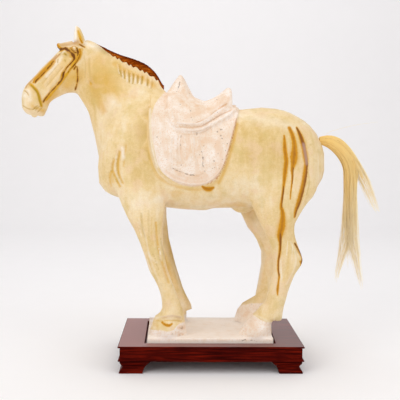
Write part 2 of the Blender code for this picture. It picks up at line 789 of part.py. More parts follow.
def build_stand_top(parent):
    """Top board: a thin lip over the aprons, a body between them, and the slab's recess."""
    inner = TOP_OVERHANG + APRON_THICKNESS + TOUCH_GAP
    half_x, half_y = stand_half_size()
    plans = (
        (STAND_HEIGHT - TOP_THICKNESS, rectangle(half_x - inner, half_y - inner)),
        (STAND_HEIGHT - TOP_LIP, rectangle(half_x - inner, half_y - inner)),
        (STAND_HEIGHT - TOP_LIP, rectangle(half_x, half_y)),
        (STAND_HEIGHT - TOP_EASE, rectangle(half_x, half_y)),
        (STAND_HEIGHT, rectangle(half_x - TOP_EASE, half_y - TOP_EASE)),
    )
    mesh = mesh_from_rings("stand_top", [block_from_plan(plans)])
    top = add_object("stand_top", mesh, parent, ROSEWOOD)
    outline = slab_outline(RECESS_OUTLINE, SLAB_CLEARANCE)
    recess_plans = ((STAND_HEIGHT - SLAB_SINK, outline), (STAND_HEIGHT + SLAB_SINK, outline))
    recess = guide(add_object("recess", mesh_from_rings("recess", [block_from_plan(recess_plans)]), parent))
    combine(top, recess, "DIFFERENCE")


def apron_profile():
    """Outward offset and height of the apron's face, from its lower lip to its top."""
    low = FOOT_HEIGHT + TOUCH_GAP
    high = STAND_HEIGHT - TOP_LIP - TOUCH_GAP
    profile = [(0.0, low), (APRON_LIP, low + APRON_LIP * 0.25)]
    for k in range(4):
        angle = math.pi / 2 * k / 3
        height = low + APRON_LIP_HEIGHT - APRON_LIP * (1 - math.sin(angle))
        profile.append((APRON_LIP * math.cos(angle), height))
    profile.append((0.0, high))
    return profile


def build_aprons(parent):
    """Four mitred rails round the stand, each with a rounded lower lip."""
    half_x, half_y = (half - TOP_OVERHANG for half in stand_half_size())
    mitre = TOUCH_GAP / 2
    sides = (("front", half_x, half_y, 0), ("right", half_y, half_x, 1),
             ("back", half_x, half_y, 2), ("left", half_y, half_x, 3))
    for name, along, out, quarter in sides:
        plans = []
        for offset, z in apron_profile():
            inner = APRON_THICKNESS
            plans.append((z, [
                (-(along + offset) + mitre, -(out + offset)), (along + offset - mitre, -(out + offset)),
                (along - inner - mitre, -(out - inner)), (-(along - inner) + mitre, -(out - inner))]))
        label = "stand_apron_" + name
        rail = add_object(label, mesh_from_rings(label, [block_from_plan(plans)]), parent, ROSEWOOD)
        rail.rotation_euler.z = quarter * math.pi / 2


def foot_levels():
    """Outward offset, arm length and height of a bracket foot, from the ground up."""
    levels = []
    steps = 10
    for k in range(steps + 1):
        share = k / steps
        ogee = 0.5 - 0.5 * math.cos(2 * math.pi * share)
        outward = FOOT_BULGE * (1 - share) - FOOT_COVE * ogee ** 1.5
        reach = FOOT_TOE_REACH + (FOOT_REACH - FOOT_TOE_REACH) * share ** 1.8
        levels.append((outward, reach, FOOT_HEIGHT * share))
    return levels


def build_feet(parent):
    """Four bracket feet with two arms each, curved in to a cove under the rails."""
    half_x, half_y = (half - TOP_OVERHANG for half in stand_half_size())
    corners = (("front_left", -1, -1), ("front_right", 1, -1), ("back_right", 1, 1), ("back_left", -1, 1))
    for name, sx, sy in corners:
        plans = []
        for outward, reach, z in foot_levels():
            near = -FOOT_THICKNESS
            plan = [(outward, outward), (-reach, outward), (-reach, near), (near, near),
                    (near, -reach), (outward, -reach)]
            plans.append((z, [(sx * x, sy * y) for x, y in plan]))
        label = "stand_foot_" + name
        foot = add_object(label, mesh_from_rings(label, [block_from_plan(plans)]), parent, ROSEWOOD)
        foot.location = (sx * half_x, sy * half_y, 0.0)


def main():
    """Build every piece, each under the empty that places it."""
    clear_scene()
    nose = min(ring[:, 0].min() for ring in head_rings(1, 12))
    tail_tip = max(part(x) for lock in TAIL_LOCKS for x, _, _ in lock)
    whole = bpy.data.objects.new("whole", None)
    bpy.context.scene.collection.objects.link(whole)
    whole.location.x = -(nose + tail_tip) / 2
    stood = bpy.data.objects.new("horse_on_slab", None)
    bpy.context.scene.collection.objects.link(stood)
    stood.parent = whole
    stood.location.z = STAND_HEIGHT - SLAB_SINK + TOUCH_GAP + SLAB_THICKNESS
    bpy.context.view_layer.update()
    build_horse(stood)
    build_stand_top(whole)
    build_aprons(whole)
    build_feet(whole)


main()
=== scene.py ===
"""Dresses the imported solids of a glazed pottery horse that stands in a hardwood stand.

Metres, +Z up, in the row's frame.  The horse faces -X and its left side is towards -Y.
The horse's free form is written in millimetres from the middle of its slab's top, the way
the maker modelled it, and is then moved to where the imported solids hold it.
"""
import logging
import math
from dataclasses import dataclass
from enum import Enum

import bmesh
import bpy
import numpy as np
from mathutils import Matrix, Vector

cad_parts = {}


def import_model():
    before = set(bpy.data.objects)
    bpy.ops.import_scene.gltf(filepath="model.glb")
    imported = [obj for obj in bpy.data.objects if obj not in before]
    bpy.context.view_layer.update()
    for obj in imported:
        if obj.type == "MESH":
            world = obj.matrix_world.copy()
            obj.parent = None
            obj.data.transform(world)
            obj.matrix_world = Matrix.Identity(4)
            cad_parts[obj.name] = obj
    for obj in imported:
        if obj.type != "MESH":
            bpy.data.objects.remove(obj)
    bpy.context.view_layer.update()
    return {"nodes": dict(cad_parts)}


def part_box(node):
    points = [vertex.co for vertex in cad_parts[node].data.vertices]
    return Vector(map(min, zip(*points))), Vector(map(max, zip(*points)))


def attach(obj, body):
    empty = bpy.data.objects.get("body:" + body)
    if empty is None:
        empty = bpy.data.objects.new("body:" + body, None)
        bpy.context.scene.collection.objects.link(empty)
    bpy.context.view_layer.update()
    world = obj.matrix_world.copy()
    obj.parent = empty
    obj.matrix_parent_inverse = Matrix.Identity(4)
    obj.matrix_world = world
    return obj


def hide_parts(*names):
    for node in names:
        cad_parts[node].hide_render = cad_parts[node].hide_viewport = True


LOG = logging.getLogger("pottery_horse")
MM = 0.001
BODY = "root"
FAR = math.inf

Rows = tuple[tuple[float, ...], ...]
Points = np.ndarray
Mesh = bpy.types.Mesh
Piece = bpy.types.Object
Tree = bpy.types.NodeTree
Socket = bpy.types.NodeSocket
Value = Socket | float | tuple


# Small tools for numbers, meshes and nodes


def linear(colour: str) -> tuple[float, float, float, float]:
    """Turn an sRGB hex colour into a linear one.

    Args:
        colour: Six hex digits after a hash sign.

    Returns:
        Linear red, green and blue with full alpha.
    """
    parts = [int(colour[i:i + 2], 16) / 255 for i in (1, 3, 5)]
    bent = [p / 12.92 if p <= 0.04045 else ((p + 0.055) / 1.055) ** 2.4 for p in parts]
    return (bent[0], bent[1], bent[2], 1.0)


def per_metre(size_mm: float) -> float:
    """Scale of a pattern whose features are this many millimetres across."""
    return 1000.0 / size_mm


def ease(values: Points) -> Points:
    """Smooth step of values that are clipped between 0 and 1."""
    held = np.clip(values, 0.0, 1.0)
    return held * held * (3.0 - 2.0 * held)


def smooth_rows(rows: Rows, steps: int) -> Points:
    """Fill in rows on a smooth curve through the given ones.

    Args:
        rows: The rows that the curve goes through.
        steps: How many rows stand for each gap.

    Returns:
        The table of all rows.
    """
    table = np.array(rows, dtype=float)
    padded = np.vstack((2 * table[0] - table[1], table, 2 * table[-1] - table[-2]))
    made = []
    for i in range(len(table) - 1):
        before, start, end, after = padded[i:i + 4]
        for t in np.arange(steps) / steps:
            made.append(0.5 * (
                2 * start + (end - before) * t
                + (2 * before - 5 * start + 4 * end - after) * t ** 2
                + (3 * start - before - 3 * end + after) * t ** 3))
    made.append(table[-1])
    return np.array(made)


def section(front: tuple, back: tuple, side: float, half_width: float, squareness: float,
            sides: int) -> Points:
    """Closed section between a front and a back point of the side view.

    Args:
        front: x and z of the front point.
        back: x and z of the back point.
        side: y of the section's middle.
        half_width: Half its width across.
        squareness: 2 for an ellipse, more for a fuller form.
        sides: How many points go round.

    Returns:
        The points of the section.
    """
    angles = np.arange(sides) * 2 * math.pi / sides
    power = 2 / squareness
    along = np.sign(np.cos(angles)) * np.abs(np.cos(angles)) ** power
    across = np.sign(np.sin(angles)) * np.abs(np.sin(angles)) ** power
    first, last = np.array(front), np.array(back)
    middle, reach = (first + last) / 2, (first - last) / 2
    points = np.empty((sides, 3))
    points[:, 0] = middle[0] + reach[0] * along
    points[:, 1] = side + half_width * across
    points[:, 2] = middle[1] + reach[1] * along
    return points


def domed(rings: list[Points], first: float, last: float, steps: int = 4) -> list[Points]:
    """Close a tube of rings by a low dome at each end.

    Args:
        rings: The tube's rings.
        first: Height of the dome before the first ring.
        last: Height of the dome after the last ring.
        steps: How many rings make a dome.

    Returns:
        The rings with their domes.
    """
    made = list(rings)
    for height, at_start in ((first, True), (last, False)):
        end, inner = (made[0], made[1]) if at_start else (made[-1], made[-2])
        middle = end.mean(axis=0)
        away = middle - inner.mean(axis=0)
        away = away / np.linalg.norm(away)
        for k in range(1, steps + 1):
            angle = k * math.pi / 2 / (steps + 0.35)
            ring = middle + (end - middle) * math.cos(angle) + away * height * math.sin(angle)
            if at_start:
                made.insert(0, ring)
            else:
                made.append(ring)
    return made


def mesh_from_rings(name: str, groups: list) -> Mesh:
    """Make one mesh of closed tubes.

    Args:
        name: Name of the mesh.
        groups: The rings of each tube, in millimetres.

    Returns:
        The mesh, in metres, with its faces turned outwards.
    """
    build = bmesh.new()
    for rings in groups:
        loops = [[build.verts.new([value * MM for value in point]) for point in ring] for ring in rings]
        for low, high in zip(loops, loops[1:]):
            for i in range(len(low)):
                j = (i + 1) % len(low)
                build.faces.new((low[i], low[j], high[j], high[i]))
        build.faces.new(loops[0][::-1])
        build.faces.new(loops[-1])
    bmesh.ops.recalc_face_normals(build, faces=build.faces)
    mesh = bpy.data.meshes.new(name)
    build.to_mesh(mesh)
    build.free()
    return mesh


def add_piece(name: str, mesh: Mesh) -> Piece:
    """Put a mesh into the scene as an object.

    Args:
        name: Name of the object.
        mesh: Its mesh.

    Returns:
        The object.
    """
    made = bpy.data.objects.new(name, mesh)
    bpy.context.scene.collection.objects.link(made)
    return made


def bake_modifiers(piece: Piece) -> Mesh:
    """Give an object the mesh that its modifiers make, and take them off it.

    Args:
        piece: The object.

    Returns:
        Its new mesh.
    """
    graph = bpy.context.evaluated_depsgraph_get()
    mesh = bpy.data.meshes.new_from_object(piece.evaluated_get(graph))
    old = piece.data
    piece.modifiers.clear()
    piece.data = mesh
    bpy.data.meshes.remove(old)
    return mesh


def join_meshes(name: str, meshes: list[Mesh]) -> Mesh:
    """Put several meshes and what they keep on their vertices into one.

    Args:
        name: Name of the new mesh.
        meshes: The meshes, in order.

    Returns:
        The new mesh.
    """
    build = bmesh.new()
    for mesh in meshes:
        build.from_mesh(mesh)
    joined = bpy.data.meshes.new(name)
    build.to_mesh(joined)
    build.free()
    return joined


def voxel_form(piece: Piece, grain_mm: float) -> Mesh:
    """Run the tubes of an object together into one closed skin.

    Args:
        piece: The object.
        grain_mm: Size of the skin's faces.

    Returns:
        The object's new mesh.
    """
    remesh = piece.modifiers.new("one_form", "REMESH")
    remesh.mode = "VOXEL"
    remesh.voxel_size = grain_mm * MM
    return bake_modifiers(piece)


def read_rows(items: bpy.types.bpy_prop_collection, name: str) -> Points:
    """Read three numbers from each item of a mesh's collection.

    Args:
        items: The vertices or the vertex normals.
        name: Name of what is read.

    Returns:
        One row for each item.
    """
    flat = np.empty(len(items) * 3, dtype=np.float32)
    items.foreach_get(name, flat)
    return flat.reshape(-1, 3).astype(float)


def mesh_points(mesh: Mesh) -> Points:
    """Positions of a mesh's vertices."""
    return read_rows(mesh.vertices, "co")


def mesh_normals(mesh: Mesh) -> Points:
    """Outward directions at a mesh's vertices."""
    return read_rows(mesh.vertex_normals, "vector")


def put_points(mesh: Mesh, points: Points) -> None:
    """Move a mesh's vertices to new positions."""
    mesh.vertices.foreach_set("co", points.astype(np.float32).ravel())
    mesh.update()


def relax(mesh: Mesh, weight: Points, rounds: int) -> None:
    """Ease vertices towards the middle of their neighbours.

    Args:
        mesh: The mesh to ease.
        weight: How far each vertex goes, from 0 to 1.
        rounds: How many times.
    """
    points = mesh_points(mesh)
    flat = np.empty(len(mesh.edges) * 2, dtype=np.int32)
    mesh.edges.foreach_get("vertices", flat)
    first, second = flat.reshape(-1, 2).T
    size = len(points)
    count = np.bincount(first, minlength=size) + np.bincount(second, minlength=size)
    pull = (0.5 * weight)[:, None]
    for _ in range(rounds):
        total = np.empty_like(points)
        for axis in range(3):
            total[:, axis] = np.bincount(first, points[second, axis], size)
            total[:, axis] += np.bincount(second, points[first, axis], size)
        points += pull * (total / count[:, None] - points)
    put_points(mesh, points)


def write_attribute(mesh: Mesh, name: str, values: Points) -> None:
    """Keep one number for each vertex under a name that materials can read."""
    made = mesh.attributes.new(name, "FLOAT", "POINT")
    made.data.foreach_set("value", np.ravel(values).astype(np.float32))


def shade_smooth(mesh: Mesh) -> None:
    """Shade all of a mesh's faces as one curved skin."""
    mesh.polygons.foreach_set("use_smooth", np.ones(len(mesh.polygons), dtype=bool))


def line_distance(flat: Points, line: Points) -> tuple[Points, Points]:
    """Distance from points of the side view to a line of many points.

    Args:
        flat: x and z of the points.
        line: x, z and any further columns along the line.

    Returns:
        The distances, and the further columns at the nearest places.
    """
    best = np.full(len(flat), 1e9)
    extra = np.zeros((len(flat), line.shape[1] - 2))
    for start, end in zip(line, line[1:]):
        run = end[:2] - start[:2]
        share = np.clip((flat - start[:2]) @ run / max(run @ run, 1e-9), 0.0, 1.0)
        away = flat - start[:2] - share[:, None] * run
        distance = np.hypot(away[:, 0], away[:, 1])
        nearer = distance < best
        best[nearer] = distance[nearer]
        extra[nearer] = start[2:] + share[nearer, None] * (end[2:] - start[2:])
    return best, extra


def in_boxes(points: Points, boxes: tuple) -> Points:
    """Which points lie in any of some boxes, each given by its low and its high corner.

    Args:
        points: Positions.
        boxes: The boxes.

    Returns:
        Whether each point lies inside.
    """
    found = np.zeros(len(points), dtype=bool)
    for low, high in boxes:
        found |= np.all((points > low) & (points < high), axis=1)
    return found


def inside(flat: Points, outline: Points) -> Points:
    """Which points of the side view lie inside a closed outline.

    Args:
        flat: x and z of the points.
        outline: x and z of the outline's corners.

    Returns:
        Whether each point lies inside.
    """
    found = np.zeros(len(flat), dtype=bool)
    for start, end in zip(outline, np.roll(outline, -1, axis=0)):
        crosses = (start[1] > flat[:, 1]) != (end[1] > flat[:, 1])
        rise = end[1] - start[1] if end[1] != start[1] else 1e-9
        meets = start[0] + (flat[:, 1] - start[1]) * (end[0] - start[0]) / rise
        found ^= crosses & (flat[:, 0] < meets)
    return found


def plug(tree: Tree, node: bpy.types.Node, inputs: dict) -> None:
    """Give a node its inputs: a socket is linked, anything else is set as a value.

    Args:
        tree: The node tree.
        node: The node.
        inputs: Value, or output socket to link, for each input's name or number.
    """
    for key, value in inputs.items():
        if isinstance(value, Socket):
            tree.links.new(value, node.inputs[key])
        else:
            node.inputs[key].default_value = value


def add_node(tree: Tree, kind: str, inputs: dict | None = None,
             **settings: str | bool) -> bpy.types.Node:
    """Add one node with its settings and its links.

    Args:
        tree: The node tree.
        kind: The node's type.
        inputs: Value, or output socket to link, for each input's name or number.
        **settings: The node's own properties.

    Returns:
        The node.
    """
    node = tree.nodes.new(kind)
    for key, value in settings.items():
        setattr(node, key, value)
    plug(tree, node, inputs or {})
    return node


def add_place(tree: Tree) -> Socket:
    """Place on the object, in metres."""
    return add_node(tree, "ShaderNodeTexCoord").outputs["Object"]


def add_attribute(tree: Tree, name: str) -> Socket:
    """Number that the mesh keeps under a name."""
    return add_node(tree, "ShaderNodeAttribute", attribute_name=name).outputs["Fac"]


def add_noise(tree: Tree, place: Socket, size_mm: float, detail: float = 2.0,
              distortion: float = 0.0) -> Socket:
    """Cloudy pattern whose features are this many millimetres across."""
    inputs = {"Vector": place, "Scale": per_metre(size_mm), "Detail": detail, "Distortion": distortion}
    return add_node(tree, "ShaderNodeTexNoise", inputs).outputs["Fac"]


def add_range(tree: Tree, value: Socket, low: float, high: float, first: Value = 0.0,
              last: Value = 1.0, shape: str = "LINEAR") -> Socket:
    """Move a value from between low and high to between first and last, and clip it there."""
    inputs = {"Value": value, 1: low, 2: high, 3: first, 4: last}
    return add_node(tree, "ShaderNodeMapRange", inputs, interpolation_type=shape).outputs[0]


def add_bump(tree: Tree, height: Socket, depth_mm: float, strength: float) -> Socket:
    """Normal of a skin on which a pattern stands out by this depth."""
    inputs = {"Height": height, "Distance": depth_mm * MM, "Strength": strength}
    return add_node(tree, "ShaderNodeBump", inputs).outputs["Normal"]


def add_ramp(tree: Tree, factor: Socket, stops: tuple) -> Socket:
    """Add a colour ramp.

    Args:
        tree: The node tree.
        factor: What drives the ramp.
        stops: Place and sRGB hex colour of each stop, in rising order.

    Returns:
        The ramp's colour output.
    """
    node = add_node(tree, "ShaderNodeValToRGB", {"Fac": factor})
    ramp = node.color_ramp
    while len(ramp.elements) < len(stops):
        ramp.elements.new(1.0)
    for element, (place, colour) in zip(ramp.elements, stops):
        element.position = place
        element.color = linear(colour)
    return node.outputs["Color"]


def blend(tree: Tree, factor: Value, low: Value, high: Value) -> Socket:
    """Mix two colours or sockets by a factor and return the mixed colour."""
    node = add_node(tree, "ShaderNodeMix", {0: factor, 6: low, 7: high}, data_type="RGBA", clamp_factor=True)
    return node.outputs[2]


def start_material(name: str) -> tuple[bpy.types.Material, Tree, bpy.types.Node]:
    """Make a material.

    Args:
        name: Name of the material.

    Returns:
        The material, its node tree and its surface shader.
    """
    made = bpy.data.materials.new(name)
    made.use_nodes = True
    tree = made.node_tree
    return made, tree, tree.nodes["Principled BSDF"]


# Finishes


@dataclass(frozen=True)
class LeadGlazedEarthenware:
    """Straw lead glaze over white slip on low-fired earthenware, brushed on and left to run.

    The glaze is thin, so its colour shifts from cream to tan with its depth; it pools
    yellow along edges, and splashes of iron amber run down through it.  Saddle, slab and
    hooves are bare slip: pinkish white, dry and pitted.
    """

    name: str = "straw_lead_glaze_on_earthenware"
    cream: str = "#FBEDD2"
    straw: str = "#EFD5A2"
    tan: str = "#DAB870"
    milky: str = "#FFF8EA"
    blush: str = "#F0CFAB"
    olive_tint: str = "#DCC27E"
    # Olive of glaze pooled in creases, also laid on as painted shade in the hollows of the legs and down the
    # throat
    olive_and_shade: str = "#B58F1E"
    pooled_yellow: str = "#DEA92A"
    amber_halo: str = "#DDAE48"
    amber_edge: str = "#D39A24"
    amber: str = "#CE8C08"
    amber_deep: str = "#AE6E08"
    amber_core: str = "#824604"
    plum: str = "#B08C7C"
    crease_brown: str = "#6E3803"
    wash: str = "#BE8850"
    slip_white: str = "#FAEFE4"
    slip_buff: str = "#F0DDC8"
    slip_rose: str = "#E8C29C"
    border_stain: str = "#C98644"
    dirt: str = "#8C7462"
    roughness: float = 0.42
    slip_roughness: float = 0.86
    gloss: float = 0.14
    ior: float = 1.55
    patch_mm: float = 34.0
    hue_mm: float = 23.8
    mottle_mm: float = 9.0
    speck_mm: float = 3.2
    brush_mm: float = 4.5
    crackle_mm: float = 3.0
    pit_mm: float = 1.9
    # Dirt specks: how far apart they lie, and how wide the patches are that have them
    speckle_mm: float = 7.04
    speckled_patch_mm: float = 22.0
    # Glaze that has run down in faint streaks: their width, and their width for their length
    run_mm: float = 11.0
    run_share: float = 0.18
    bump_mm: float = 0.5
    bump_strength: float = 0.6

    def build(self) -> bpy.types.Material:
        """Make the material.

        Returns:
            The material.
        """
        made, tree, shader = start_material(self.name)
        place = add_place(tree)

        def read(name: str) -> Socket:
            """Number that the mesh keeps under a name."""
            return add_attribute(tree, name)

        def noise(size_mm: float, detail: float = 2.0) -> Socket:
            """Cloudy pattern of one size."""
            return add_noise(tree, place, size_mm, detail)

        def voronoi(size_mm: float, feature: str) -> Socket:
            """Distance pattern of cells of one size."""
            cells = {"Vector": place, "Scale": per_metre(size_mm)}
            return add_node(tree, "ShaderNodeTexVoronoi", cells, feature=feature).outputs["Distance"]

        def maths(operation: str, first: Value, second: Value = 0.0, third: Value = 0.0) -> Socket:
            """One step of arithmetic."""
            values = {0: first, 1: second, 2: third}
            return add_node(tree, "ShaderNodeMath", values, operation=operation).outputs[0]

        def reach(value: Socket, low: float, high: float, top: float = 1.0) -> Socket:
            """Smooth rise of a value between two limits."""
            return add_range(tree, value, low, high, 0.0, top, "SMOOTHSTEP")

        def stir(value: Socket, pattern: Socket, width: float) -> Socket:
            """Add a pattern that swings by this width about 0."""
            return maths("ADD", value, maths("MULTIPLY_ADD", pattern, width, -width / 2))

        def laid(strength: Socket, least: float = 0.45) -> Socket:
            """Strength of a painted colour, broken up by the brush."""
            return maths("MULTIPLY", strength, maths("MULTIPLY_ADD", mottle, 0.9, least))

        def coats(colour: Socket, *layers: tuple) -> Socket:
            """Lay coats over a colour, each with its strength and its sRGB colour.

            Args:
                colour: The colour below.
                *layers: Strength and sRGB colour of each coat, in order.

            Returns:
                The colour on top.
            """
            for strength, tint in layers:
                colour = blend(tree, strength, colour, linear(tint))
            return colour

        patches, mottle, grain = noise(self.patch_mm, 3.0), noise(self.mottle_mm, 3.0), noise(self.speck_mm)
        hung = add_node(tree, "ShaderNodeMapping", {"Vector": place, "Scale": (1.0, 1.0, self.run_share)})
        runs = add_noise(tree, hung.outputs["Vector"], self.run_mm)
        low, high = read("low"), read("high")

        # Depth of the glaze: large patches with brushed mottling, over a tone that holds thicker and thinner
        # glaze and also painted light and shade
        depth = maths("MULTIPLY_ADD", read("glaze_tone_and_light"), 0.32, 0.5)
        for pattern, width in ((patches, 0.42), (mottle, 0.18), (runs, 0.5), (noise(self.brush_mm), 0.20)):
            depth = stir(depth, pattern, width)
        glaze = add_ramp(tree, depth, ((0.12, self.tan), (0.48, self.straw), (0.86, self.cream)))

        # Where it is thinnest the clay blushes through, and where it is thickest it turns olive;
        # the fine crackle is drawn three times as wide as it is so that it shows
        hue = noise(self.hue_mm, 3.0)
        crackle = voronoi(self.crackle_mm, "DISTANCE_TO_EDGE")
        glaze = coats(
            glaze,
            (reach(hue, 0.47, 0.32, 0.4), self.blush),
            (reach(hue, 0.52, 0.68, 0.45), self.olive_tint),
            (maths("MULTIPLY", high, 0.5), self.milky),
            (laid(read("yellow"), 0.35), self.pooled_yellow),
            (laid(low, 0.3), self.pooled_yellow),
            (laid(read("pale")), self.milky),
            # Olive, partly pooled glaze and partly painted shade
            (laid(read("olive_and_shade")), self.olive_and_shade),
            (laid(read("wash"), 0.4), self.wash),
            (reach(crackle, 0.10, 0.0, 0.09), self.crease_brown))

        # Amber that has run down, deeper in the middle of each run, and brown lines in creases
        run = stir(read("amber"), grain, 0.5)
        deep = stir(read("core"), mottle, 1.0)
        amber = add_ramp(tree, stir(run, mottle, 0.5),
                         ((0.0, self.amber_edge), (0.45, self.amber), (1.0, self.amber_deep)))
        amber = coats(amber, (reach(deep, -0.7, 0.6, 0.9), self.amber_core), (read("plum"), self.plum))
        glaze = coats(glaze, (reach(run, -0.75, 0.1, 0.55), self.amber_halo))
        glaze = blend(tree, reach(run, -0.05, 0.28, 0.95), glaze, amber)
        line = stir(stir(read("brown"), grain, 0.9), mottle, 3.2)
        glaze = coats(
            glaze,
            (reach(line, -2.0, -0.1, 0.85), self.amber_edge),
            (reach(line, -0.2, 0.7, 0.92), self.crease_brown))

        # Bare slip with rose clay showing through, dirt, specks and pits, and rose painted shade in its
        # creases and under the saddle's rolls
        slip = add_ramp(tree, maths("ADD", maths("MULTIPLY", patches, 0.55), maths("MULTIPLY", mottle, 0.45)),
                        ((0.26, self.slip_rose), (0.43, self.slip_buff), (0.62, self.slip_white)))
        speckled = maths("MULTIPLY", reach(voronoi(self.speckle_mm, "F1"), 0.17, 0.06),
                         reach(noise(self.speckled_patch_mm), 0.50, 0.66, 0.75))
        dirt = maths("MAXIMUM", speckled, reach(stir(read("dirt"), grain, 3.6), -0.2, 0.9, 0.75))
        # Rose in the slip's pressed creases, under the saddle's rolls and at its folds is painted shade; on
        # the near forefoot it is clay rubbed round the stains
        worn_and_shaded = maths("ADD", read("rub_and_shade"), maths("MULTIPLY", low, 0.9))
        slip = coats(
            slip,
            (reach(noise(self.pit_mm, 1.0), 0.50, 0.68, 0.5), self.slip_rose),
            (reach(runs, 0.52, 0.68, 0.35), self.slip_rose),
            (laid(worn_and_shaded, 0.35), self.slip_rose),
            (maths("MULTIPLY", high, 0.6), self.slip_white),
            (laid(read("pale")), self.slip_white),
            (dirt, self.dirt))

        # Iron stains along the border where the glaze ends on the bare slip
        border = stir(read("bare"), grain, 2.4)
        bare = reach(border, -0.5, 0.5)
        stain = maths("MULTIPLY", reach(maths("ABSOLUTE", border), 3.4, 0.2), reach(grain, 0.42, 0.60, 0.85))
        stain = maths("MULTIPLY", maths("MULTIPLY", stain, reach(mottle, 0.34, 0.5)), read("stain"))
        colour = coats(blend(tree, bare, glaze, slip), (stain, self.border_stain))

        # Slip is grainy to the touch; glaze only ripples
        height = maths("MULTIPLY", grain, maths("MULTIPLY_ADD", bare, 0.75, 0.15))
        height = maths("SUBTRACT", height, maths("MULTIPLY", dirt, bare))
        plug(tree, shader, {
            "Base Color": colour, "IOR": self.ior, "Specular IOR Level": self.gloss,
            "Roughness": add_range(tree, bare, 0.0, 1.0, self.roughness, self.slip_roughness),
            "Normal": add_bump(tree, height, self.bump_mm, self.bump_strength)})
        return made


@dataclass(frozen=True)
class LacqueredRosewood:
    """Dark red hardwood, planed, stained and lacquered.

    Straight fine grain with dark pores runs along each board.  Upper faces are buffed and
    glossier, and a pinkish grey laid into their colour, strongest at the left end, is a painted
    reflection of the pale room seen at a low angle; upright faces stay deep red.
    """

    name: str
    grain_axis: int
    light: str = "#7A1A0A"
    middle: str = "#4A0A05"
    dark: str = "#280302"
    painted_sheen: str = "#96605A"
    streak_mm: float = 3.2
    pore_mm: float = 0.9
    stretch: float = 18.0
    roughness: float = 0.34
    ior: float = 1.5
    bump_mm: float = 0.15
    bump_strength: float = 0.35
    # Painted reflection laid into the upper faces' colour, at the left end and at the right end, and where
    # these lie
    painted_sheen_amount: tuple[float, float] = (1.0, 0.30)
    painted_sheen_ends_mm: tuple[float, float] = (-130.0, 150.0)
    # Upward part of the normal at which a face begins to count as an upper one, and fully does
    upper_from: tuple[float, float] = (0.94, 0.99)
    upright_gloss: float = 0.02
    upper_gloss: float = 0.5

    def build(self) -> bpy.types.Material:
        """Make the material.

        Returns:
            The material.
        """
        made, tree, shader = start_material(self.name)
        place = add_place(tree)
        scale = [1.0, 1.0, 1.0]
        scale[self.grain_axis] = 1.0 / self.stretch
        laid = add_node(tree, "ShaderNodeMapping", {"Vector": place, "Scale": scale}).outputs["Vector"]
        streaks = add_noise(tree, laid, self.streak_mm, 4.0, 0.6)
        wood = add_ramp(tree, streaks, ((0.30, self.dark), (0.50, self.middle), (0.72, self.light)))
        pore = add_range(tree, add_noise(tree, laid, self.pore_mm), 0.60, 0.70, 0.0, 0.55)
        wood = blend(tree, pore, wood, linear(self.dark))
        facing = add_node(tree, "ShaderNodeNewGeometry").outputs["Normal"]
        rise = add_node(tree, "ShaderNodeSeparateXYZ", {"Vector": facing}).outputs["Z"]
        # Painted reflection: pinkish grey laid into the colour of the upper faces, fading from left to right
        along = add_node(tree, "ShaderNodeSeparateXYZ", {"Vector": place}).outputs["X"]
        left, right = self.painted_sheen_ends_mm
        painted_sheen_amount = add_range(tree, along, left * MM, right * MM, *self.painted_sheen_amount)
        wood = blend(tree, add_range(tree, rise, *self.upper_from, 0.0, painted_sheen_amount), wood, linear(self.painted_sheen))
        gloss = self.upright_gloss
        if self.upper_gloss != self.upright_gloss:
            gloss = add_range(tree, rise, *self.upper_from, self.upright_gloss, self.upper_gloss)
        plug(tree, shader, {
            "Base Color": wood, "Roughness": self.roughness, "IOR": self.ior, "Specular IOR Level": gloss,
            "Normal": add_bump(tree, streaks, self.bump_mm, self.bump_strength)})
        return made


@dataclass(frozen=True)
class Horsehair:
    """Combed horsehair: each strand slightly lighter or darker, satin along its length.

    Its colour runs from the root to the tip, so a bundle looks deep where it is bound
    and pale where it thins out.
    """

    name: str
    root: str
    middle: str
    tip: str
    shadow: str
    gloss: float = 0.15
    roughness: float = 0.5
    ior: float = 1.55

    def build(self) -> bpy.types.Material:
        """Make the material.

        Returns:
            The material.
        """
        made, tree, shader = start_material(self.name)
        stops = ((0.0, self.root), (0.42, self.middle), (1.0, self.tip))
        # The shade that each vertex keeps draws it towards the shadow colour: on strands it is their own
        # lighter or darker tone, and on the tail's locks it also holds painted shade on their undersides
        darker = add_range(tree, add_attribute(tree, "shade"), 0.45, 1.0, 0.0, 0.75)
        colour = blend(tree, darker, add_ramp(tree, add_attribute(tree, "along"), stops), linear(self.shadow))
        plug(tree, shader, {
            "Base Color": colour, "Roughness": self.roughness, "IOR": self.ior,
            "Specular IOR Level": self.gloss})
        return made


@dataclass(frozen=True)
class StudioPaper:
    """Matt white paper that sweeps up behind the object, as plain as a studio has."""

    name: str = "matt_studio_paper"
    colour: str = "#FCFBFB"
    cloud: str = "#FAF9F9"
    fibre_mm: float = 60.0
    roughness: float = 0.95
    gloss: float = 0.1

    def build(self) -> bpy.types.Material:
        """Make the material.

        Returns:
            The material.
        """
        made, tree, shader = start_material(self.name)
        clouds = add_noise(tree, add_place(tree), self.fibre_mm, 1.0)
        plug(tree, shader, {
            "Base Color": add_ramp(tree, clouds, ((0.0, self.cloud), (1.0, self.colour))),
            "Roughness": self.roughness, "Specular IOR Level": self.gloss})
        return made


# The horse


class Where(Enum):
    """Which part of the horse a stroke lies on; the head's strokes turn with it."""

    HEAD = "head"
    BODY = "body"


class Profile(Enum):
    """Cross-section of a stroke: a soft swelling, or a band with a flat top."""

    ROUND = "round"
    BAND = "band"


@dataclass(frozen=True)
class Stroke:
    """A line on the horse in side view: x, z and, where it varies, half width.

    Its amount is the height in millimetres for relief, or the strength of a colour.  Its
    side is -1 for the near side, 1 for the far one and 0 for both.
    """

    line: Rows
    half_width: float
    amount: float = 1.0
    where: Where = Where.BODY
    side: int = 0
    profile: Profile = Profile.ROUND


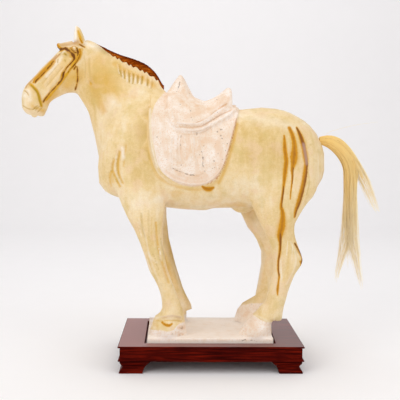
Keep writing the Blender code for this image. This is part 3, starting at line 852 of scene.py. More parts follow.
@dataclass
class PotteryHorse:
    """The fired piece: horse, forelock, bridle, saddle and slab, all of one clay."""

    slab_top: tuple[float, float, float]
    grain: float = 1.25
    quick_grain: float = 2.2
    coarse_grain: float = 3.0
    most_triangles: int = 190000
    head_turn: float = math.radians(11.0)
    poll_x: float = -203.0
    slab_half: tuple[float, float] = (101.5, 70.0)
    slab_thickness: float = 15.0
    slab_edge: float = 1.5
    cloth_thickness: float = 5.0
    skirt_thickness: float = 9.0
    seat_thickness: float = 12.0
    layer_root: float = 6.0
    ridge_low: float = 318.0
    groove_air: float = 0.5
    lip_height: float = 7.0
    mane_thickness: float = 7.0
    groove_seat: float = 3.5
    # How much the flanks, the croup and the rest are eased, how often, and how far they swell
    flank_ease: float = 0.95
    croup_ease: float = 0.6
    least_ease: float = 0.05
    ease_rounds: int = 46
    leg_swell: float = 0.5
    body_swell: float = 0.7
    # Easing of the whole clay skin, and the height of the marks of the hand on it
    skin_ease: float = 0.8
    skin_rounds: int = 4
    ripple_height: float = 0.16
    # Points round each form
    trunk_sides: int = 56
    neck_sides: int = 44
    head_sides: int = 40
    stalk_sides: int = 16
    leg_sides: int = 28
    ball_sides: int = 18
    ridge_sides: int = 36
    cloth_sides: int = 49
    layer_sides: int = 33
    leg_squareness: float = 2.15
    # Trunk sections: x, top z, bottom z, half width, squareness
    trunk: Rows = (
        (-175.5, 294, 233, 33, 2.0), (-166.5, 330, 221.5, 45, 2.1), (-142, 362, 212, 55, 2.2),
        (-105, 378, 204, 61, 2.2), (-60, 374, 197, 64, 2.2), (-12, 357, 194, 66, 2.2),
        (5, 355.5, 197.5, 66, 2.2), (40, 354, 198.5, 66, 2.2), (80, 358, 198, 66, 2.2),
        (112, 355, 200, 64, 2.2), (140, 344, 205, 58, 2.2), (162, 328, 216, 48, 2.1),
        (176, 304, 239, 31, 2.0),
    )
    # Neck and head sections: front x, front z, back x, back z, half width, squareness
    neck: Rows = (
        (-219, 386, -200, 465, 21, 2.1), (-208.5, 369.5, -180, 456, 24, 2.1),
        (-197, 351, -156, 435, 28, 2.0), (-190.5, 329, -129, 420, 35, 2.0),
        (-184.5, 305, -104, 408, 43, 2.0), (-179.5, 280, -82, 391, 50, 2.1),
        (-170, 250, -60, 366, 53, 2.1),
    )
    head: Rows = (
        (-206, 459, -196, 402, 19, 2.2), (-225, 458, -212, 382, 25, 2.4),
        (-242, 445, -230, 380, 26, 2.5), (-257.5, 429.5, -244, 373.5, 22.5, 2.6),
        (-270.5, 416.5, -254, 367.5, 19, 2.6), (-281.5, 403.5, -259.5, 361.5, 17, 2.5),
        (-290.5, 394.5, -262, 352.5, 17.5, 2.3), (-297, 385, -267, 345, 19, 2.2),
        (-301, 373, -276, 343, 18.5, 2.2), (-300.5, 361, -287, 344, 13.5, 2.1),
    )
    # Leg sections: front x, front z, back x, back z, sideways place, half width
    foreleg: Rows = (
        (-146, 330, -92, 322, 22, 16), (-160, 288, -78, 278, 30, 24),
        (-156, 246, -74, 238, 33, 24.5), (-141, 209, -74, 201, 40, 22.5),
        (-129, 182, -76, 176, 45, 18.5), (-118.5, 162, -76, 157, 45, 16),
        (-110, 142, -75, 138, 45, 14.5), (-102.5, 121, -72, 120, 45, 14),
        (-96, 101, -68, 102, 45, 12.5), (-84, 79, -59, 78, 46, 11.5),
        (-77, 57, -50, 57, 46, 12), (-77, 38, -43, 37, 46, 14.5),
        (-87, 28, -41, 26, 46, 17.5), (-93, 14, -39, 14, 47, 21),
        (-97, 0, -37, 0, 47, 22.5), (-96, -5, -39, -5, 47, 21),
    )
    # The far forefoot stands steeper; these rows take the place of the last ones above
    far_fore_foot: Rows = (
        (-76, 57, -50, 57, 46, 12), (-75, 40, -43, 39, 46, 13.5), (-79, 28, -41, 27, 46, 15),
        (-85, 14, -40, 14, 46, 18), (-89, 0, -39, 0, 46, 19.5), (-88, -5, -40, -5, 46, 18.5),
    )
    hind_leg: Rows = (
        (80, 325, 156, 315, 22, 20), (64, 285, 169, 282, 30, 26),
        (56, 242, 169, 245, 37, 27), (60, 222, 163.5, 224, 39.5, 26), (65.5, 203, 149, 206, 42, 24),
        (76, 178, 132.5, 180, 44, 20), (84, 161, 130, 163, 45, 17),
        (93, 141, 136, 142, 45, 15), (97, 121, 144, 120, 45, 13.5),
        (98, 109, 140, 108, 45, 13), (97, 97, 132, 96, 45, 12.5),
        (92, 77, 124, 75, 45, 12), (88, 57, 119, 57, 45, 12.5),
        (81, 40, 114, 38, 46, 14), (72, 31, 113, 22, 46, 15),
    )
    hind_hoof: Rows = (
        (82, 50, 104, 34, 46, 11), (68, 32, 97, 22, 46, 15), (54, 16, 96, 12, 47, 20),
        (44, 0, 96.5, 0, 47, 22.5), (44, -5, 95.5, -5, 47, 21),
    )
    fore_heel: Rows = (
        (-80, 82, -54, 80, 46, 9), (-74, 63, -47, 63, 46, 11), (-70, 44, -38, 43, 46, 12.5),
        (-66, 34, -30.5, 30, 46, 13.5), (-64, 21, -27.5, 20, 46, 13.5),
    )
    # Front of the far thigh, which reaches further forward than the near one
    far_thigh: Rows = (
        (42, 220, 110, 220, 39, 20), (47.5, 200, 112, 200, 41, 20), (54.5, 183, 108, 183, 43, 18.5),
        (61, 171, 108, 171, 44, 17.5), (66.5, 160, 108, 160, 45, 16), (75.5, 149, 110, 149, 45, 14.5),
        (82.5, 136, 112, 136, 45, 13.5), (88.5, 122, 114, 122, 45, 12.5), (93, 106, 116, 106, 45, 11.5),
    )
    # The far hind hoof is longer and stands further forward than the near one
    far_hind_hoof: Rows = (
        (85, 44, 104, 34, 46, 10.5), (62.5, 32, 97, 22, 46, 15), (50.5, 18, 96, 12, 47, 20),
        (43, 0, 96.5, 0, 47, 22.5), (43, -5, 95.5, -5, 47, 21),
    )
    # Far legs stand off the near ones along X: shifts at the top, the joint and the foot
    no_shift: tuple = (0, 0, 0)
    far_fore_shift: tuple = (-3, 10.5, 1)
    far_hind_shift: tuple = (-4, -9, 1)
    # Heights of the foot, the joint and the top that the shifts belong to
    shift_levels: tuple = (0, 110, 240)
    # Ear and forelock sections: x, z, sideways place, radius along, radius across
    ear: Rows = (
        (-211, 454, 11, 8.5, 6), (-212, 463, 12.5, 8.3, 5.5), (-213.5, 471, 13.5, 6.7, 4.4),
        (-215, 478, 14, 4.8, 3), (-217, 483, 14, 1.8, 1.4),
    )
    ear_foot: float = 463.0
    near_ear_share: float = 0.98
    forelock: Rows = (
        (-222, 455, 0, 7, 12), (-233, 453, 0, 6, 11), (-241, 452, 0, 5, 8), (-245, 456, 0, 2.6, 4),
    )
    # Lower edges of the saddle's layers on each flank: x, z
    cloth_edge: Rows = (
        (-96, 340), (-95, 322), (-91, 298), (-83, 268), (-73, 252), (-60, 243), (-45, 237), (-28, 235),
        (-12, 238), (2, 245), (12, 258), (19, 276), (27, 305), (35, 332), (41, 351), (43, 358),
    )
    skirt_edge: Rows = (
        (-70, 352), (-66, 338), (-60, 328), (-40, 321), (-20, 321), (-3, 327), (16, 337), (30, 347),
        (39, 356),
    )
    seat_edge: Rows = (
        (-62, 350), (-57, 338), (-48, 331), (-30, 328), (-12, 331), (3, 341), (18, 351), (31, 362),
    )
    # Pommel, seat and cantle: x, top z, half width, squareness
    ridge: Rows = (
        (-74, 372, 30, 2.0), (-66, 390, 31, 1.8), (-58, 402, 31, 1.6), (-50, 411, 31, 1.45),
        (-43, 403, 32, 1.6), (-36, 389, 34, 1.8), (-28, 376, 37, 2.0), (-16, 369, 41, 2.1),
        (-4, 371, 43, 2.1), (8, 377, 43, 2.0), (19, 386, 41, 1.9), (27, 391, 38, 1.8), (32, 388, 35, 1.8),
    )
    # Crest groove: x, upper edge z, lower edge z, share of the full thickness
    crest: Rows = (
        (-188, 460, 457.5, 0.35), (-168, 449, 442.5, 0.7), (-147, 440, 430, 0.9), (-124, 433, 416, 1.0),
        (-106, 425.5, 408, 1.0), (-94, 416, 400, 0.9), (-86, 406, 393, 0.75), (-78, 392, 386, 0.5),
    )
    # Swellings on the head: middle and radii, mirrored on both sides
    swellings: tuple = (
        ((-229, 12, 402), (19, 13, 19)), ((-234, 21, 438), (6, 5.5, 4.5)),
        ((-294, 11.5, 379), (4.5, 4.5, 5)), ((-220, 20, 446), (4.2, 5.5, 3.8)),
    )
    lip_and_chin: tuple = (((-282, 0, 345), (5, 7, 6)), ((-271.5, 0, 348), (7, 9, 7)))
    sheath: tuple = ((53, 0, 200), (18, 13, 11))
    # Plan of the hand-cut slab, in shares of its half length and half width
    slab_plan: Rows = (
        (-0.97, -1.00), (-0.30, -1.01), (0.45, -0.995), (0.945, -1.00), (0.965, -0.90), (0.958, -0.52),
        (0.985, -0.25), (0.97, 0.10), (1.02, 0.98), (0.20, 1.00), (-1.00, 0.99), (-0.985, 0.10),
    )
    # Boxes, as low and high corners, that keep most or much of their triangles: the head, the
    # near side of the saddle and the amber runs; the near legs, the crest, the breast and the
    # whole saddle
    fine_boxes: tuple = (
        ((-FAR, -FAR, -FAR), (-190, FAR, FAR)), ((-100, -FAR, 224), (48, 0, FAR)),
        ((98, -FAR, 60), (152, -20, FAR)),
    )
    medium_boxes: tuple = (
        ((-FAR, -FAR, -FAR), (FAR, 0, 200)), ((-162, -FAR, 380), (-88, FAR, FAR)),
        ((-162, -FAR, -FAR), (-128, FAR, 300)), ((-100, -FAR, 224), (48, FAR, FAR)),
    )

    def turn(self, points: Points, back: bool = False) -> Points:
        """Turn points about the poll.

        Args:
            points: Positions in millimetres.
            back: Whether the turned head goes back to the straight one, and not the straight
                one towards the left side.

        Returns:
            The turned points.
        """
        angle = -self.head_turn if back else self.head_turn
        cosine, sine = math.cos(angle), math.sin(angle)
        reach = points[:, 0] - self.poll_x
        out = points.copy()
        out[:, 0] = self.poll_x + reach * cosine - points[:, 1] * sine
        out[:, 1] = reach * sine + points[:, 1] * cosine
        return out

    def trunk_rings(self) -> list[Points]:
        """Sections of the trunk.

        Returns:
            The rings, from the breast to the rump.
        """
        rings = []
        for x, top, low, half, square in smooth_rows(self.trunk, 4):
            rings.append(section((x, top), (x, low), 0, half, square, self.trunk_sides))
        return domed(rings, 7, 6)

    def neck_rings(self) -> list[Points]:
        """Sections of the neck, narrower at the crest than at the throat.

        Returns:
            The rings, from the shoulder to the poll.
        """
        rings = []
        for fx, fz, bx, bz, half, square in smooth_rows(self.neck, 5):
            ring = section((fx, fz), (bx, bz), 0, half, square, self.neck_sides)
            share = np.linspace(0, 2 * math.pi, self.neck_sides, endpoint=False)
            ring[:, 1] *= 0.86 + 0.20 * np.cos(share)
            rings.append(ring)
        return domed(rings, 4, 6)

    def head_rings(self) -> list[Points]:
        """Sections of the head, from the poll to the lips.

        Returns:
            The rings.
        """
        rings = []
        for fx, fz, bx, bz, half, square in smooth_rows(self.head, 5):
            rings.append(self.turn(section((fx, fz), (bx, bz), 0, half, square, self.head_sides)))
        return domed(rings, 3, 5)

    def stalk_rings(self, rows: Rows, side: float) -> list[Points]:
        """Sections of an upright or forward stalk such as an ear or the forelock.

        Args:
            rows: x, z, sideways place, radius along and radius across of each section.
            side: -1 for the near side and 1 for the far one.

        Returns:
            The rings with their domes.
        """
        table = smooth_rows(rows, 4)
        rings = []
        for i, (x, z, across, along_radius, across_radius) in enumerate(table):
            heading = table[min(i + 1, len(table) - 1)][:2] - table[max(i - 1, 0)][:2]
            heading = heading / np.linalg.norm(heading)
            normal = np.array((heading[1], -heading[0])) * along_radius
            ring = section((x + normal[0], z + normal[1]), (x - normal[0], z - normal[1]),
                           side * across, across_radius, 2.0, self.stalk_sides)
            rings.append(self.turn(ring))
        return domed(rings, 1, 1, 2)

    def ear_rows(self, side: int) -> list:
        """Sections of one ear; the near one stands lower than the far one."""
        share = self.near_ear_share if side < 0 else 1.0
        return [(x, self.ear_foot + (z - self.ear_foot) * share, *rest) for x, z, *rest in self.ear]

    def leg_rings(self, rows: Rows, side: int, shifts: tuple) -> list[Points]:
        """Sections of a leg.

        Args:
            rows: The leg's table.
            side: -1 for the near side and 1 for the far one.
            shifts: How far the top, the joint and the foot move along X.

        Returns:
            The rings.
        """
        rings = []
        for fx, fz, bx, bz, across, half in smooth_rows(rows, 5):
            ring = section((fx, fz), (bx, bz), side * across, half, self.leg_squareness, self.leg_sides)
            ring[:, 0] += np.interp(ring[:, 2], self.shift_levels, shifts[::-1])
            rings.append(ring)
        return rings

    def ball_rings(self, centre: tuple, radii: tuple) -> list[Points]:
        """Rings of an ellipsoid, for a swelling of the clay.

        Args:
            centre: Its middle.
            radii: Its three radii.

        Returns:
            The rings.
        """
        rings = []
        for k in range(1, 10):
            angle = math.pi * k / 10
            reach = math.sin(angle) * radii[0]
            ring = section((reach, 0), (-reach, 0), 0, math.sin(angle) * radii[1], 2.0, self.ball_sides)
            ring[:, 2] = -math.cos(angle) * radii[2]
            rings.append(ring + np.array(centre))
        return rings

    def bare_groups(self) -> list:
        """Tubes of the trunk, neck, head and legs, which are blended into each other.

        Returns:
            The rings of each tube.
        """
        groups = [self.trunk_rings(), self.neck_rings(), self.head_rings()]
        far_foreleg = (*self.foreleg[:-len(self.far_fore_foot)], *self.far_fore_foot)
        for rows, side, shifts in (
                (self.foreleg, -1, self.no_shift), (self.hind_leg, -1, self.no_shift),
                (self.hind_hoof, -1, self.no_shift), (far_foreleg, 1, self.far_fore_shift),
                (self.hind_leg, 1, self.far_hind_shift), (self.far_hind_hoof, 1, self.far_hind_shift),
                (self.fore_heel, 1, self.no_shift), (self.far_thigh, 1, self.no_shift)):
            groups.append(self.leg_rings(rows, side, shifts))
        groups.append(self.ball_rings(*self.sheath))
        return groups

    def detail_groups(self) -> list:
        """Tubes of the ears, forelock and swellings of the head.

        Returns:
            The rings of each tube.
        """
        groups = [self.stalk_rings(self.forelock, 1)]
        for side in (-1, 1):
            groups.append(self.stalk_rings(self.ear_rows(side), side))
            for (x, y, z), radii in self.swellings:
                groups.append([self.turn(ring) for ring in self.ball_rings((x, side * y, z), radii)])
        for centre, radii in self.lip_and_chin:
            groups.append([self.turn(ring) for ring in self.ball_rings(centre, radii)])
        return groups

    def arch_rings(self, edge: Rows, grow: float, points: int) -> list[Points]:
        """Sections of a layer over the back, grown from the trunk and ending at its lower edge.

        Args:
            edge: x and z of the layer's lower edge.
            grow: How far it stands off the trunk.
            points: Points on each face of a section.

        Returns:
            The rings.
        """
        table = smooth_rows(self.trunk, 6)
        rings = []
        for x, low_z in smooth_rows(edge, 3):
            top, low, half, square = (np.interp(x, table[:, 0], table[:, k]) for k in range(1, 5))
            middle, reach = (top + low) / 2, (top - low) / 2
            share = np.clip((low_z - middle) / (reach + grow), -1, 1)
            last = math.acos(math.copysign(abs(share) ** (square / 2), share))
            angles = np.linspace(-last, last, points)
            ring = []
            for extra, sweep in ((grow, angles), (-self.layer_root, angles[::-1])):
                for angle in sweep:
                    up = math.copysign(abs(math.cos(angle)) ** (2 / square), math.cos(angle))
                    out = math.copysign(abs(math.sin(angle)) ** (2 / square), math.sin(angle))
                    ring.append((x, (half + extra) * out, middle + (reach + extra) * up))
            rings.append(np.array(ring))
        return rings

    def saddle_groups(self) -> list:
        """Tubes of the cloth, skirt and seat, and of the pommel and cantle on them.

        Returns:
            The rings of each tube.
        """
        ridge = []
        for x, top, half, square in smooth_rows(self.ridge, 4):
            ridge.append(section((x, top), (x, self.ridge_low), 0, half, square, self.ridge_sides))
        return [
            self.arch_rings(self.cloth_edge, self.cloth_thickness, self.cloth_sides),
            self.arch_rings(self.skirt_edge, self.skirt_thickness, self.layer_sides),
            self.arch_rings(self.seat_edge, self.seat_thickness, self.layer_sides),
            ridge,
        ]

    def slab_rings(self) -> list[Points]:
        """The hand-cut slab with a softened upper edge.

        Returns:
            The rings.
        """
        plan = np.array(self.slab_plan)
        outer = np.copysign(np.abs(plan) > 0.9, plan)
        rings = []
        for z, inset in ((-self.slab_thickness, 0.0), (-self.slab_edge, 0.0), (0.0, self.slab_edge)):
            rings.append(np.column_stack((plan * self.slab_half - inset * outer, np.full(len(plan), z))))
        return rings

    def groove_depth(self, points: Points) -> Points:
        """How far each point has to sink so that the mane's groove opens along the crest.

        Args:
            points: Positions in millimetres.

        Returns:
            Millimetres that each point sinks; below 0 where the groove's lips rise.
        """
        x, _, low, share = smooth_rows(self.crest, 4).T
        half = np.interp(points[:, 0], x, share) * self.mane_thickness / 2 + self.groove_air
        seat = np.interp(points[:, 0], x, low) - self.groove_seat
        within = (points[:, 0] > x[0] - 1) & (points[:, 0] < x[-1] + 1) & (points[:, 2] > seat - 4)
        across = ease((half + 0.9 - np.abs(points[:, 1])) / 1.2)
        sink = np.where(within, np.maximum(points[:, 2] - seat, 0) * across, 0.0)
        ends = ease((points[:, 0] - x[0] - 8) / 30) * ease((x[-1] - points[:, 0]) / 8)
        scallop = 0.78 + 0.22 * np.sin(points[:, 0] * 0.72 + np.sin(points[:, 0] * 0.29))
        lip = self.lip_height * scallop * np.exp(-((np.abs(points[:, 1]) - half - 2.4) / 2.2) ** 2)
        return sink - np.where(within, lip * ends * (1 - across), 0.0)

    def build(self, finish: LeadGlazedEarthenware, relief: list[Stroke],
              paint: "GlazePaint") -> Piece:
        """Model, carve and glaze the horse.

        Args:
            finish: The glaze and slip.
            relief: Strokes that stand out or are pressed in.
            paint: Where each colour lies.

        Returns:
            The finished object.
        """
        horse = add_piece("glazed_horse", mesh_from_rings("blended_body", self.bare_groups()))
        self.blend_body(voxel_form(horse, self.coarse_grain))
        details = mesh_from_rings(
            "horse_details", [*self.detail_groups(), *self.saddle_groups(), self.slab_rings()])
        horse.data = join_meshes("pottery_horse", [horse.data, details])
        mesh = voxel_form(horse, self.grain)
        relax(mesh, np.full(len(mesh.vertices), self.skin_ease), self.skin_rounds)
        self.carve(mesh, relief)
        self.thin_out(horse)
        mesh = horse.data
        paint.apply(self, mesh, relief)
        put_points(mesh, mesh_points(mesh) + np.array(self.slab_top))
        shade_smooth(mesh)
        mesh.materials.clear()
        mesh.materials.append(finish.build())
        return horse

    def blend_body(self, mesh: Mesh) -> None:
        """Ease the joints of the tubes on the flanks and the croup, and let the body swell a little.

        Args:
            mesh: The body's mesh.
        """
        spots = mesh_points(mesh) / MM
        above = ease((spots[:, 2] - 172) / 34)
        off_head = ease((spots[:, 0] + 212) / 24)
        flank = ease((np.abs(mesh_normals(mesh)[:, 1]) - 0.25) / 0.45)
        croup = ease((spots[:, 0] - 112) / 30) * (1 - flank)
        eased = self.flank_ease * flank + self.croup_ease * croup
        relax(mesh, self.least_ease + above * off_head * eased, self.ease_rounds)
        swell = self.leg_swell + self.body_swell * above * off_head
        put_points(mesh, mesh_points(mesh) + mesh_normals(mesh) * (swell * MM)[:, None])

    def carve(self, mesh: Mesh, relief: list[Stroke]) -> None:
        """Press and raise the strokes of the relief along the surface's normals.

        Args:
            mesh: The mesh to carve.
            relief: The strokes.
        """
        points = mesh_points(mesh) / MM
        normals = mesh_normals(mesh)
        height = self.relief_height(relief, points, normals)
        ripple = np.sin(points[:, 0] * 0.19 + 1.3 * np.sin(points[:, 2] * 0.11))
        ripple = ripple * np.sin(points[:, 2] * 0.16 + points[:, 1] * 0.07)
        height += self.ripple_height * ripple
        points += normals * height[:, None]
        points[:, 2] -= self.groove_depth(points)
        put_points(mesh, points * MM)

    def relief_height(self, relief: list[Stroke], points: Points, normals: Points) -> Points:
        """Sum of the relief's strokes in millimetres at each point.

        Args:
            relief: The strokes.
            points: Positions in millimetres.
            normals: Outward directions.

        Returns:
            The heights.
        """
        height = np.zeros(len(points))
        for stroke in relief:
            height += self.stroke_field(stroke, points, normals, soft=True) * stroke.amount
        return height

    def stroke_field(self, stroke: Stroke, points: Points, normals: Points, soft: bool,
                     cut: bool = True) -> Points:
        """Strength of one stroke at each point.

        Args:
            stroke: The stroke.
            points: Positions in millimetres.
            normals: Outward directions.
            soft: Whether the field is the profile from 0 to 1, or the share of the half
                width that is left, which goes below 0 outside the stroke.
            cut: Whether the stroke fades out where the surface turns edge-on.

        Returns:
            The field.
        """
        line = smooth_rows(stroke.line, 4)
        if line.shape[1] == 2:
            line = np.column_stack((line, np.full(len(line), stroke.half_width)))
        places, facing = points, np.abs(normals[:, 1])
        if stroke.where is Where.HEAD:
            places = self.turn(points, back=True)
            turned = normals[:, 1] * math.cos(self.head_turn) - normals[:, 0] * math.sin(self.head_turn)
            facing = np.abs(turned)
        reach = 3.5 * max(line[:, 2].max(), 1.0)
        low, high = line[:, :2].min(axis=0) - reach, line[:, :2].max(axis=0) + reach
        flat = places[:, (0, 2)]
        chosen = np.all((flat > low) & (flat < high), axis=1)
        if stroke.side:
            chosen &= places[:, 1] * stroke.side > 0
        found = np.full(len(points), 0.0 if soft else -9.0)
        if not chosen.any():
            return found
        distance, extra = line_distance(flat[chosen], line)
        left = 1.0 - distance / np.maximum(extra[:, 0], 0.05)
        if not soft:
            found[chosen] = left
            return found
        shape = ease(left * 2.6) if stroke.profile is Profile.BAND else ease(left)
        found[chosen] = shape * ease((facing[chosen] - 0.08) / 0.3) if cut else shape
        return found

    def thin_out(self, horse: Piece) -> None:
        """Drop triangles where the surface is plain, and keep them on the head and saddle.

        Args:
            horse: The horse.
        """
        mesh = horse.data
        count = sum(len(face.vertices) - 2 for face in mesh.polygons)
        if count <= self.most_triangles:
            return
        points = mesh_points(mesh) / MM
        fine, medium = in_boxes(points, self.fine_boxes), in_boxes(points, self.medium_boxes)
        group = horse.vertex_groups.new(name="plain")
        for chosen, weight in ((~fine & ~medium, 1.0), (medium & ~fine, 0.7), (fine, 0.5)):
            group.add(np.flatnonzero(chosen).tolist(), weight, "REPLACE")
        thin = horse.modifiers.new("thin_out", "DECIMATE")
        thin.ratio = self.most_triangles / count
        thin.vertex_group = group.name
        thin.vertex_group_factor = 1.0
        bake_modifiers(horse)
        horse.vertex_groups.clear()


@dataclass
class GlazePaint:
    """Where glaze, runs, stains and bare slip lie on the horse, in side view."""

    amber: list[Stroke]
    plum: list[Stroke]
    brown: list[Stroke]
    core: list[Stroke]
    yellow: list[Stroke]
    olive_and_shade: list[Stroke]
    wash: list[Stroke]
    pale: list[Stroke]
    rub_and_shade: list[Stroke]
    stain: list[Stroke]
    dirt: list[Stroke]
    # Patches of thicker or thinner glaze, among them painted shade on the throat and croup and painted light
    # on the belly and lower flank: x, z, reach along, reach up, tone
    tones_and_painted_light: Rows
    # Border of the saddle's bare slip: x, z
    cloth_border: Rows
    # Upper edge of the bare slip on the feet: x, z
    near_fore_line: Rows
    far_fore_line: Rows
    near_hind_line: Rows
    far_hind_line: Rows
    # Corners above the back that close the saddle's border
    above_back: Rows = ((60, 460), (-66, 460))
    behind_x: float = 20.0

    def bare_field(self, points: Points) -> Points:
        """Millimetres that each point lies inside the bare slip; below 0 on the glaze.

        Args:
            points: Positions in millimetres.

        Returns:
            The distances.
        """
        flat = points[:, (0, 2)]
        border = smooth_rows(self.cloth_border, 3)
        outline = np.vstack((border, self.above_back))
        distance, _ = line_distance(flat, border)
        saddle = np.where(inside(flat, outline), distance, -distance)
        rear, far = flat[:, 0] > self.behind_x, points[:, 1] > 0
        feet = np.zeros(len(points))
        for line, chosen in ((self.near_fore_line, ~rear & ~far), (self.far_fore_line, ~rear & far),
                             (self.near_hind_line, rear & ~far), (self.far_hind_line, rear & far)):
            x, z = np.array(line).T
            feet[chosen] = (np.interp(flat[:, 0], x, z) - flat[:, 1])[chosen]
        return np.maximum(saddle, feet)

    def apply(self, horse: PotteryHorse, mesh: Mesh, relief: list[Stroke]) -> None:
        """Write each colour's field on the mesh for the material to read.

        Args:
            horse: The horse, which knows how its head is turned.
            mesh: Its mesh, in the horse's own place.
            relief: Strokes that stand out or are pressed in; glaze pools in the low ones.
        """
        points = mesh_points(mesh) / MM
        normals = mesh_normals(mesh)
        height = horse.relief_height(relief, points, normals)
        write_attribute(mesh, "low", ease((-height - 0.35) / 1.5))
        write_attribute(mesh, "high", ease(height / 1.8))

        def most(strokes: list[Stroke], soft: bool, floor: float) -> Points:
            """Strongest of some strokes at each point.

            Args:
                strokes: The strokes.
                soft: Which kind of field, as in stroke_field.
                floor: What a point has that no stroke reaches.

            Returns:
                The field.
            """
            field = np.full(len(points), floor)
            for stroke in strokes:
                found = horse.stroke_field(stroke, points, normals, soft, False)
                field = np.maximum(field, found * stroke.amount if soft else found)
            return field

        # Tone of the glaze, which also holds the painted light and shade of the patches
        glaze_tone_and_light = np.zeros(len(points))
        for x, z, along, up, value in self.tones_and_painted_light:
            reach = ((points[:, 0] - x) / along) ** 2 + ((points[:, 2] - z) / up) ** 2
            glaze_tone_and_light += value * np.exp(-reach)
        write_attribute(mesh, "glaze_tone_and_light", np.clip(glaze_tone_and_light, -1.2, 1.2))
        write_attribute(mesh, "bare", np.clip(self.bare_field(points), -12, 12))
        for name in ("amber", "brown", "core", "dirt"):
            write_attribute(mesh, name, np.maximum(most(getattr(self, name), False, -3.0), -3.0))
        for name in ("plum", "yellow", "olive_and_shade", "wash", "pale", "rub_and_shade", "stain"):
            write_attribute(mesh, name, most(getattr(self, name), True, 0.0))


def strokes_of(where: Where, *rows: tuple) -> list[Stroke]:
    """Strokes from rows of half width, amount, line and, if only one side has it, that side."""
    return [Stroke(line, half_width, amount, where, *side) for half_width, amount, line, *side in rows]


def drawn(where: Where, amount: float, *lines: Rows, side: int = 0) -> list[Stroke]:
    """Strokes of one amount and side, whose lines state their own half widths."""
    return [Stroke(line, 1.0, amount, where, side) for line in lines]


# Three short creases at the corner of the lips
LIP_CREASES = (((-283, 352), (-277, 357)), ((-280, 350), (-274, 356)), ((-277, 347), (-271, 353)))


def cheek_mark(k: int) -> Rows:
    """Line of one of the long tool marks down the cheek, counted from the front."""
    return (-247 + 2.9 * k, 424 - 2.5 * k), (-272 + 3.0 * k, 394 - 2.4 * k)


def head_relief() -> list[Stroke]:
    """Bridle, eye, nostril and mouth on the straight head.

    Returns:
        The strokes.
    """
    head = Where.HEAD
    straps = (
        # Cheek strap, throat lash, noseband and browband
        (2.4, 1.5, ((-213, 438), (-217.5, 429), (-225, 419), (-232, 411), (-236, 402), (-241, 393),
                    (-252, 381), (-265, 367))),
        (1.6, 1.0, ((-216, 418), (-216, 408), (-215.5, 398), (-217, 390), (-218, 385))),
        (2.2, 1.5, ((-287, 390), (-282, 384.5), (-277, 378.5), (-274.5, 372), (-273, 365), (-271, 358))),
        (2.4, 1.0, ((-241, 449), (-230, 449), (-219, 448), (-207, 442))),
    )
    strokes = [Stroke(line, width, height, head, profile=Profile.BAND) for width, height, line in straps]
    strokes += strokes_of(
        head,
        (1.6, 0.8, ((-297, 374), (-294, 370), (-289, 371))),
        (2.6, 0.6, ((-245, 430), (-256, 416), (-270, 400), (-279, 391))),
        # Brow over the eye and its lids
        (2.2, 1.2, ((-243, 437), (-239, 440), (-234, 442), (-229, 442), (-225, 439), (-221, 433))),
        (1.5, 0.9, ((-240, 436), (-235, 441), (-229, 439))),
        (1.3, 0.7, ((-240, 435), (-235, 434), (-229, 437))),
        # Pressed in: beside the strap, over the brow, along the blaze, nostril, mouth and lip
        (1.4, -1.0, ((-221, 433), (-228, 421), (-234, 413), (-238, 404), (-239.5, 398), (-246, 389.5),
                     (-258, 377), (-268, 365))),
        (2.0, -1.6, ((-233, 445), (-226, 443), (-222, 438), (-219, 431))),
        (1.6, -1.2, ((-243, 437), (-249, 429), (-254, 422), (-258, 417), (-263, 411), (-270, 403.5),
                     (-277, 396))),
        (1.8, -1.6, ((-296, 380), (-292, 377), (-290, 373))),
        (1.3, -1.4, ((-299, 357), (-293, 353), (-285, 351), (-277, 354))),
        *[(1.0, -0.8, line) for line in LIP_CREASES],
        (1.6, -1.2, ((-224, 450), (-225, 446), (-221, 442), (-216, 443), (-215, 448))),
        *[(1.9, 0.6 if k % 2 == 0 else -0.7, cheek_mark(k)) for k in range(6)])
    return strokes


